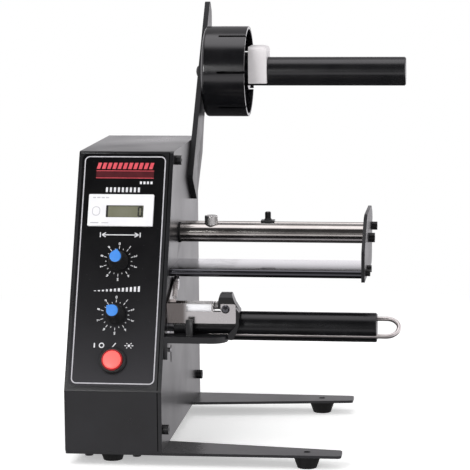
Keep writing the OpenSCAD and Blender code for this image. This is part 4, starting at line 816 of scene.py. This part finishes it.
# the dark seam between the front and the side plate, on the slope and on the upright face
seam = {"x": 67.0, "half": 0.35, "rise": 0.03, "low": 1.0, "top": 178.0}
addPiece(slabsOnFace("slopeSeam", rectangles([[seam["x"] - seam["half"], seam["x"] + seam["half"],
                                               1.0, seam["top"]]]), 0.0, seam["rise"]),
         "machine", "seamShade")
seamX = seam["x"] + np.array([-1, 1, 1, -1, -1, 1, 1, -1]) * seam["half"]
seamY = np.repeat([0.0, -seam["rise"]], 4)
seamZ = np.array([seam["low"], seam["low"], 43.4, 43.4] * 2)
addPiece(meshFromArrays("frontSeam", toFrame(seamX, seamY, seamZ), [
    [4, 5, 6, 7], [3, 2, 1, 0], [0, 1, 5, 4], [1, 2, 6, 5], [2, 3, 7, 6], [3, 0, 4, 7]]),
    "machine", "seamShade")

# knobs and caps, in millimetres above the face
knob = {"footRadius": 7.25, "skirtRadius": 6.9, "topRadius": 5.0, "foot": 0.9, "top": 14.5,
        "ribs": 30, "ribDepth": 0.22, "capRadius": 4.15, "capTip": 5.6, "capLow": 14.45,
        "capHigh": 15.3}
pointer = {"length": 10.0, "speed": -50.0}


# the radius dips by a raised cosine round the knob, fading out at the ribs' two ends
def knobRibs(radius, height, angle):
    t = np.clip((height - 3.2) / 1.2, 0, 1) * np.clip((13.9 - height) / 0.8, 0, 1)
    return radius - knob["ribDepth"] * t * (0.5 - 0.5 * np.cos(knob["ribs"] * angle)) ** 1.5


# a foot ring, then a straight cone to the rounded top edge
def knobProfile():
    foot, top = knob["foot"], knob["top"]
    heights = np.concatenate([[foot, foot, foot + 0.35, foot + 1.8, foot + 2.2],
                              np.linspace(foot + 2.6, top - 0.7, 16), [top - 0.25, top, top]])
    sides = knob["skirtRadius"] + (knob["topRadius"] - knob["skirtRadius"]) * (
        (np.linspace(foot + 2.6, top - 0.7, 16) - foot - 2.6) / (top - foot - 3.3))
    radii = np.concatenate([[3.2, knob["footRadius"] - 0.3, knob["footRadius"],
                             knob["footRadius"] - 0.05, knob["skirtRadius"] + 0.05], sides,
                            [knob["topRadius"] - 0.12, knob["topRadius"] - 0.4, 3.0]])
    return np.stack([radii, heights], -1)


# the cap's outline is a circle with two tangents that meet in the pointer's tip
def capShape(turn):
    def shape(radius, height, angle):
        delta = np.abs((angle - turn + np.pi) % (2 * np.pi) - np.pi)
        reach = math.acos(knob["capRadius"] / knob["capTip"])
        factor = np.where(delta < reach, 1 / np.cos(np.clip(reach - delta, 0, reach)), 1)
        return radius * factor
    return shape


# a low disc with a rounded edge and a slightly crowned top
def capProfile():
    r, low, high = knob["capRadius"], knob["capLow"], knob["capHigh"]
    return [[r * 0.97, low], [r, low + 0.1], [r, high - 0.22], [r - 0.07, high - 0.07],
            [r - 0.25, high], [r * 0.6, high + 0.03], [r * 0.2, high + 0.04]]


for dialName, dialV in (("length", face["lengthV"]), ("speed", face["speedV"])):
    body = dialName + "_dial"
    addPiece(turnedOnFace(dialName + "KnobBody", face["dialX"], dialV, knobProfile(), 240,
                          shape=knobRibs), body, "knobPlastic",
             (dialName + "_knob",))
    addPiece(turnedOnFace(dialName + "CapBody", face["dialX"], dialV, capProfile(), 240,
                          shape=capShape(math.radians(pointer[dialName]))), body, "capBlue",
             (dialName + "_cap",))
print("stage: knobs turned")

# power button: a lit lens in a dark red rim
button = {"lensRadius": 6.5, "rimRadius": 7.5, "rimTop": 4.9, "lensTop": 5.3, "foot": -7.5}
r, rim = button["lensRadius"], button["rimRadius"]
addPiece(turnedOnFace("buttonRim", face["dialX"], face["buttonV"], [
    [rim - 0.2, button["foot"]], [rim, button["foot"] + 0.2], [rim, button["rimTop"] - 0.5],
    [rim - 0.15, button["rimTop"] - 0.12], [rim - 0.45, button["rimTop"]],
    [r + 0.05, button["rimTop"] - 0.25], [r - 0.3, button["rimTop"] - 0.5]], 128),
    "button", "lensRim", ("power_button",))
addPiece(turnedOnFace("buttonLens", face["dialX"], face["buttonV"], [
    [r - 0.35, button["rimTop"] - 0.45], [r - 0.05, button["rimTop"] - 0.2],
    [r - 0.12, button["lensTop"] - 0.35], [r - 0.5, button["lensTop"] - 0.1],
    [r * 0.75, button["lensTop"] + 0.02], [r * 0.4, button["lensTop"] + 0.12],
    [r * 0.1, button["lensTop"] + 0.15]], 128), "button", "lensRed")

# the counter's display
# left, top, right and bottom are the widths of the painted recess shadow strips
display = {"x0": 22.8, "v0": 127.9, "wide": 27.5, "high": 9.0, "level": 1.7, "left": 1.5,
           "top": 0.55, "right": 0.3, "bottom": 0.25, "digitX": 46.6, "digitV": 128.9,
           "digitWide": 2.5, "digitHigh": 6.7, "stroke": 1.15, "inset": 0.02, "gap": 0.12}
x0, v0 = display["x0"], display["v0"]
x1, v1 = x0 + display["wide"], v0 + display["high"]
inset = display["inset"]
# painted shadow of the recess: dark strips just inside the window's four edges
addPiece(slabsOnFace("displayShade", rectangles([
    [x0 + inset, x0 + display["left"], v0 + inset, v1 - inset],
    [x0 + inset, x1 - inset, v1 - display["top"], v1 - inset],
    [x1 - display["right"], x1 - inset, v0 + inset, v1 - inset],
    [x0 + inset, x1 - inset, v0 + inset, v0 + display["bottom"]]]), display["level"], 0.04),
    "machine", "displayInkAndPaintedShade")


# the seven bars of a display digit; the middle one stays off for a zero
def digitBars():
    x, v = display["digitX"], display["digitV"]
    w, h, s = display["digitWide"], display["digitHigh"], display["stroke"]
    gap = display["gap"]
    return strokeCorners([
        [x + gap, v, x + w - gap, v, s], [x + gap, v + h, x + w - gap, v + h, s],
        [x, v + gap, x, v + h / 2 - gap, s], [x, v + h / 2 + gap, x, v + h - gap, s],
        [x + w, v + gap, x + w, v + h / 2 - gap, s],
        [x + w, v + h / 2 + gap, x + w, v + h - gap, s]])


addPiece(slabsOnFace("displayDigit", digitBars(), display["level"] - 0.01, 0.05), "machine",
         "displayInkAndPaintedShade")

# faint marks on the counter's front
marks = [[12.6, 142.6, 15.0, 142.6, 0.9], [15.8, 142.6, 18.2, 142.6, 0.9],
         [19.0, 142.6, 21.4, 142.6, 0.9], [22.2, 142.6, 24.6, 142.6, 0.9],
         [11.8, 123.6, 17.8, 123.6, 0.8], [20.0, 123.6, 25.0, 123.6, 0.6]]
markLevel = face["film"] + face["counterRise"]
addPiece(slabsOnFace("counterMarks", strokeCorners(marks), markLevel, 0.03), "machine",
         "printGrey")
outline, normal = roundOutline(12.9, 18.3, 129.2, 135.6, 2.4)
addPiece(bandOnFace("counterPad", outline, normal, 0.5, markLevel, 0.03), "machine",
         "printGrey")
print("stage: counter and button made")

# stop screw with a knurled head
stop = {"x": 94.0, "y": 95.0, "seat": 148.2, "headRadius": 4.9, "neckRadius": 3.9, "height": 9.2,
        "knurls": 56, "knurlDepth": 0.04, "shankRadius": 2.0, "shankLength": 7.0}


# the radius dips by a raised cosine round the head, between the knurl's two ends
def stopKnurl(radius, height, angle):
    t = np.clip((height - 0.0026) / 0.0005, 0, 1) * np.clip((0.0082 - height) / 0.0005, 0, 1)
    wave = 0.5 - 0.5 * np.cos(stop["knurls"] * angle)
    return radius - stop["knurlDepth"] / 1000 * t * wave


head = stop["headRadius"]
neck = stop["neckRadius"]
profile = [[stop["shankRadius"] - 0.3, -stop["shankLength"]],
           [stop["shankRadius"], -stop["shankLength"] + 0.3], [stop["shankRadius"], 0.15],
           [neck - 0.1, 0.15], [neck, 0.25], [neck, 1.2], [neck + 0.1, 1.5], [head - 0.3, 1.8],
           [head, 2.2]]
profile += [[head, h] for h in np.linspace(2.6, 8.2, 10)]
profile += [[head, 8.6], [head - 0.25, 9.0], [head - 0.8, 9.2], [head - 1.6, 9.0], [1.0, 8.9]]
addPiece(turnedOnAxis("stopScrewBody", toFrame(stop["x"], stop["y"], stop["seat"]), (0, 0, 1),
                      (1, 0, 0), profile, 448, shape=stopKnurl),
         "stop", "knurlSteel", ("stop_screw",))
print("stage: stop screw turned")

# levels of the world and powers of the lamps
studio = {"diffuse": 0.5, "dark": 0.05, "overhead": 1.7, "glare": 0.72, "horizon": 0.17,
          "behind": 0.34, "backdrop": 0.95, "sides": 0.9, "key": 15.0, "fill": 6.0, "top": 8.0,
          "glint": 2.2, "tint": (0.99, 0.965, 1.0), "floorHalf": 40.0, "floorTone": 0.93,
          "floorGlow": 0.42, "fadeFrom": 0.28, "fadeTo": 0.62}


def buildWorld():
    world = bpy.data.worlds.new("studioWorld")
    bpy.context.scene.world = world
    world.use_nodes = True
    tree = world.node_tree
    tree.nodes.clear()
    place = addNode(tree, "ShaderNodeTexCoord")
    split = addNode(tree, "ShaderNodeSeparateXYZ")
    tree.links.new(place.outputs["Generated"], split.inputs[0])
    x, y, z = split.outputs

    def between(value, lowFrom, lowTo, highFrom, highTo, amount):
        rise = smoothStep(tree, value, lowFrom, lowTo)
        fall = mathNode(tree, "SUBTRACT", 1.0, smoothStep(tree, value, highFrom, highTo))
        return mathNode(tree, "MULTIPLY", mathNode(tree, "MULTIPLY", rise, fall), amount)

    overhead = mathNode(tree, "MULTIPLY", smoothStep(tree, z, 0.86, 0.97), studio["overhead"])
    # towards the camera: dark, with a glare low down and a faint one at eye level
    front = mathNode(tree, "ADD", between(z, -0.44, -0.34, -0.14, -0.06, studio["glare"]),
                     between(z, -0.06, 0.0, 0.2, 0.34, studio["horizon"]))
    front = mathNode(tree, "ADD", front, studio["dark"])
    # behind the machine: brightest around eye level, dark below it
    back = mathNode(tree, "ADD", between(z, -0.36, -0.14, 0.12, 0.28, studio["backdrop"]),
                    mathNode(tree, "MULTIPLY", smoothStep(tree, z, -0.3, 0.0), studio["behind"]))
    back = mathNode(tree, "ADD", back, studio["dark"])
    mix = addNode(tree, "ShaderNodeMix", data_type="FLOAT")
    tree.links.new(smoothStep(tree, y, -0.12, 0.12), mix.inputs[0])
    tree.links.new(front, mix.inputs[2])
    tree.links.new(back, mix.inputs[3])
    # two soft boxes far out on the left and the right light the upright edges
    sides = mathNode(tree, "MULTIPLY", smoothStep(tree, mathNode(tree, "ABSOLUTE", x), 0.45, 0.62),
                     between(z, -0.4, -0.2, 0.7, 0.85, studio["sides"]))
    total = mathNode(tree, "MAXIMUM", mathNode(tree, "MAXIMUM", mix.outputs[0], sides), overhead)
    path = addNode(tree, "ShaderNodeLightPath")
    glossy = mathNode(tree, "MAXIMUM", path.outputs["Is Glossy Ray"],
                      path.outputs["Is Transmission Ray"])
    level = addNode(tree, "ShaderNodeMix", data_type="FLOAT")
    tree.links.new(glossy, level.inputs[0])
    level.inputs[2].default_value = studio["diffuse"]
    tree.links.new(total, level.inputs[3])
    seen = addNode(tree, "ShaderNodeMix", data_type="FLOAT")
    tree.links.new(path.outputs["Is Camera Ray"], seen.inputs[0])
    tree.links.new(level.outputs[0], seen.inputs[2])
    seen.inputs[3].default_value = 1.0
    shader = addNode(tree, "ShaderNodeBackground")
    tint = addNode(tree, "ShaderNodeMix", data_type="RGBA")
    tree.links.new(glossy, tint.inputs[0])
    tint.inputs[6].default_value = (1, 1, 1, 1)
    tint.inputs[7].default_value = (*studio["tint"], 1)
    tree.links.new(tint.outputs[2], shader.inputs["Color"])
    tree.links.new(seen.outputs[0], shader.inputs["Strength"])
    out = addNode(tree, "ShaderNodeOutputWorld")
    tree.links.new(shader.outputs[0], out.inputs["Surface"])


def buildFloor():
    half = studio["floorHalf"]
    floor = meshFromArrays("studioFloor", [[-half, -half, 0], [half, -half, 0], [half, half, 0],
                                           [-half, half, 0]], [[0, 1, 2, 3]])
    material, tree, shader, place = startMaterial("floorPaper")
    shader.inputs["Base Color"].default_value = (*[studio["floorTone"]] * 3, 1)
    shader.inputs["Roughness"].default_value = 0.9
    shader.inputs["Specular IOR Level"].default_value = 0.1
    shader.inputs["Emission Color"].default_value = (1, 1, 1, 1)
    shader.inputs["Emission Strength"].default_value = studio["floorGlow"]
    length = addNode(tree, "ShaderNodeVectorMath", operation="LENGTH")
    tree.links.new(place, length.inputs[0])
    away = smoothStep(tree, length.outputs["Value"], studio["fadeFrom"], studio["fadeTo"])
    path = addNode(tree, "ShaderNodeLightPath")
    seen = mathNode(tree, "MULTIPLY", away, path.outputs["Is Camera Ray"])
    white = addNode(tree, "ShaderNodeEmission")
    mix = addNode(tree, "ShaderNodeMixShader")
    tree.links.new(seen, mix.inputs[0])
    tree.links.new(shader.outputs[0], mix.inputs[1])
    tree.links.new(white.outputs[0], mix.inputs[2])
    tree.links.new(mix.outputs[0], tree.nodes["Material Output"].inputs["Surface"])
    floor.data.materials.append(material)
    floor.visible_glossy = False


def addLamp(name, place, target, size, power, seenInGloss=True):
    lamp = bpy.data.lights.new(name, "AREA")
    lamp.shape = "RECTANGLE"
    lamp.size, lamp.size_y = size
    lamp.energy = power
    holder = bpy.data.objects.new(name, lamp)
    bpy.context.scene.collection.objects.link(holder)
    direction = np.asarray(target, float) - np.asarray(place, float)
    holder.location = place
    holder.rotation_euler = Vector(direction).to_track_quat("-Z", "Y").to_euler()
    holder.visible_camera = False
    holder.visible_glossy = seenInGloss
    return holder


buildWorld()
buildFloor()
addLamp("keyLamp", (-0.9, -1.3, 1.5), (0, 0, 0.15), (0.9, 0.9), studio["key"], False)
addLamp("fillLamp", (1.5, -0.9, 0.9), (0, 0, 0.15), (0.8, 1.0), studio["fill"], False)
addLamp("glareLamp", (-0.42, -1.15, 0.5), (-0.08, -0.1, 0.1), (0.3, 0.3), studio["glint"])
addLamp("topLamp", (0.1, 0.3, 1.8), (0, 0, 0.1), (1.2, 1.0), studio["top"], False)

view = {"place": (0.17822, -1.51258, 0.37439), "turn": 7.137, "tilt": 81.575, "roll": -0.494,
        "lens": 155.38}
camera = bpy.data.cameras.new("photoCamera")
camera.lens = view["lens"]
camera.sensor_width = 36.0
camera.clip_end = 100.0
cameraHolder = bpy.data.objects.new("photoCamera", camera)
bpy.context.scene.collection.objects.link(cameraHolder)
cameraHolder.matrix_world = (Matrix.Translation(view["place"])
                             @ Matrix.Rotation(math.radians(view["turn"]), 4, "Z")
                             @ Matrix.Rotation(math.radians(view["tilt"]), 4, "X")
                             @ Matrix.Rotation(math.radians(view["roll"]), 4, "Z"))
bpy.context.scene.camera = cameraHolder
bpy.context.scene.view_settings.view_transform = "Standard"
print("stage: floor, light and camera set")
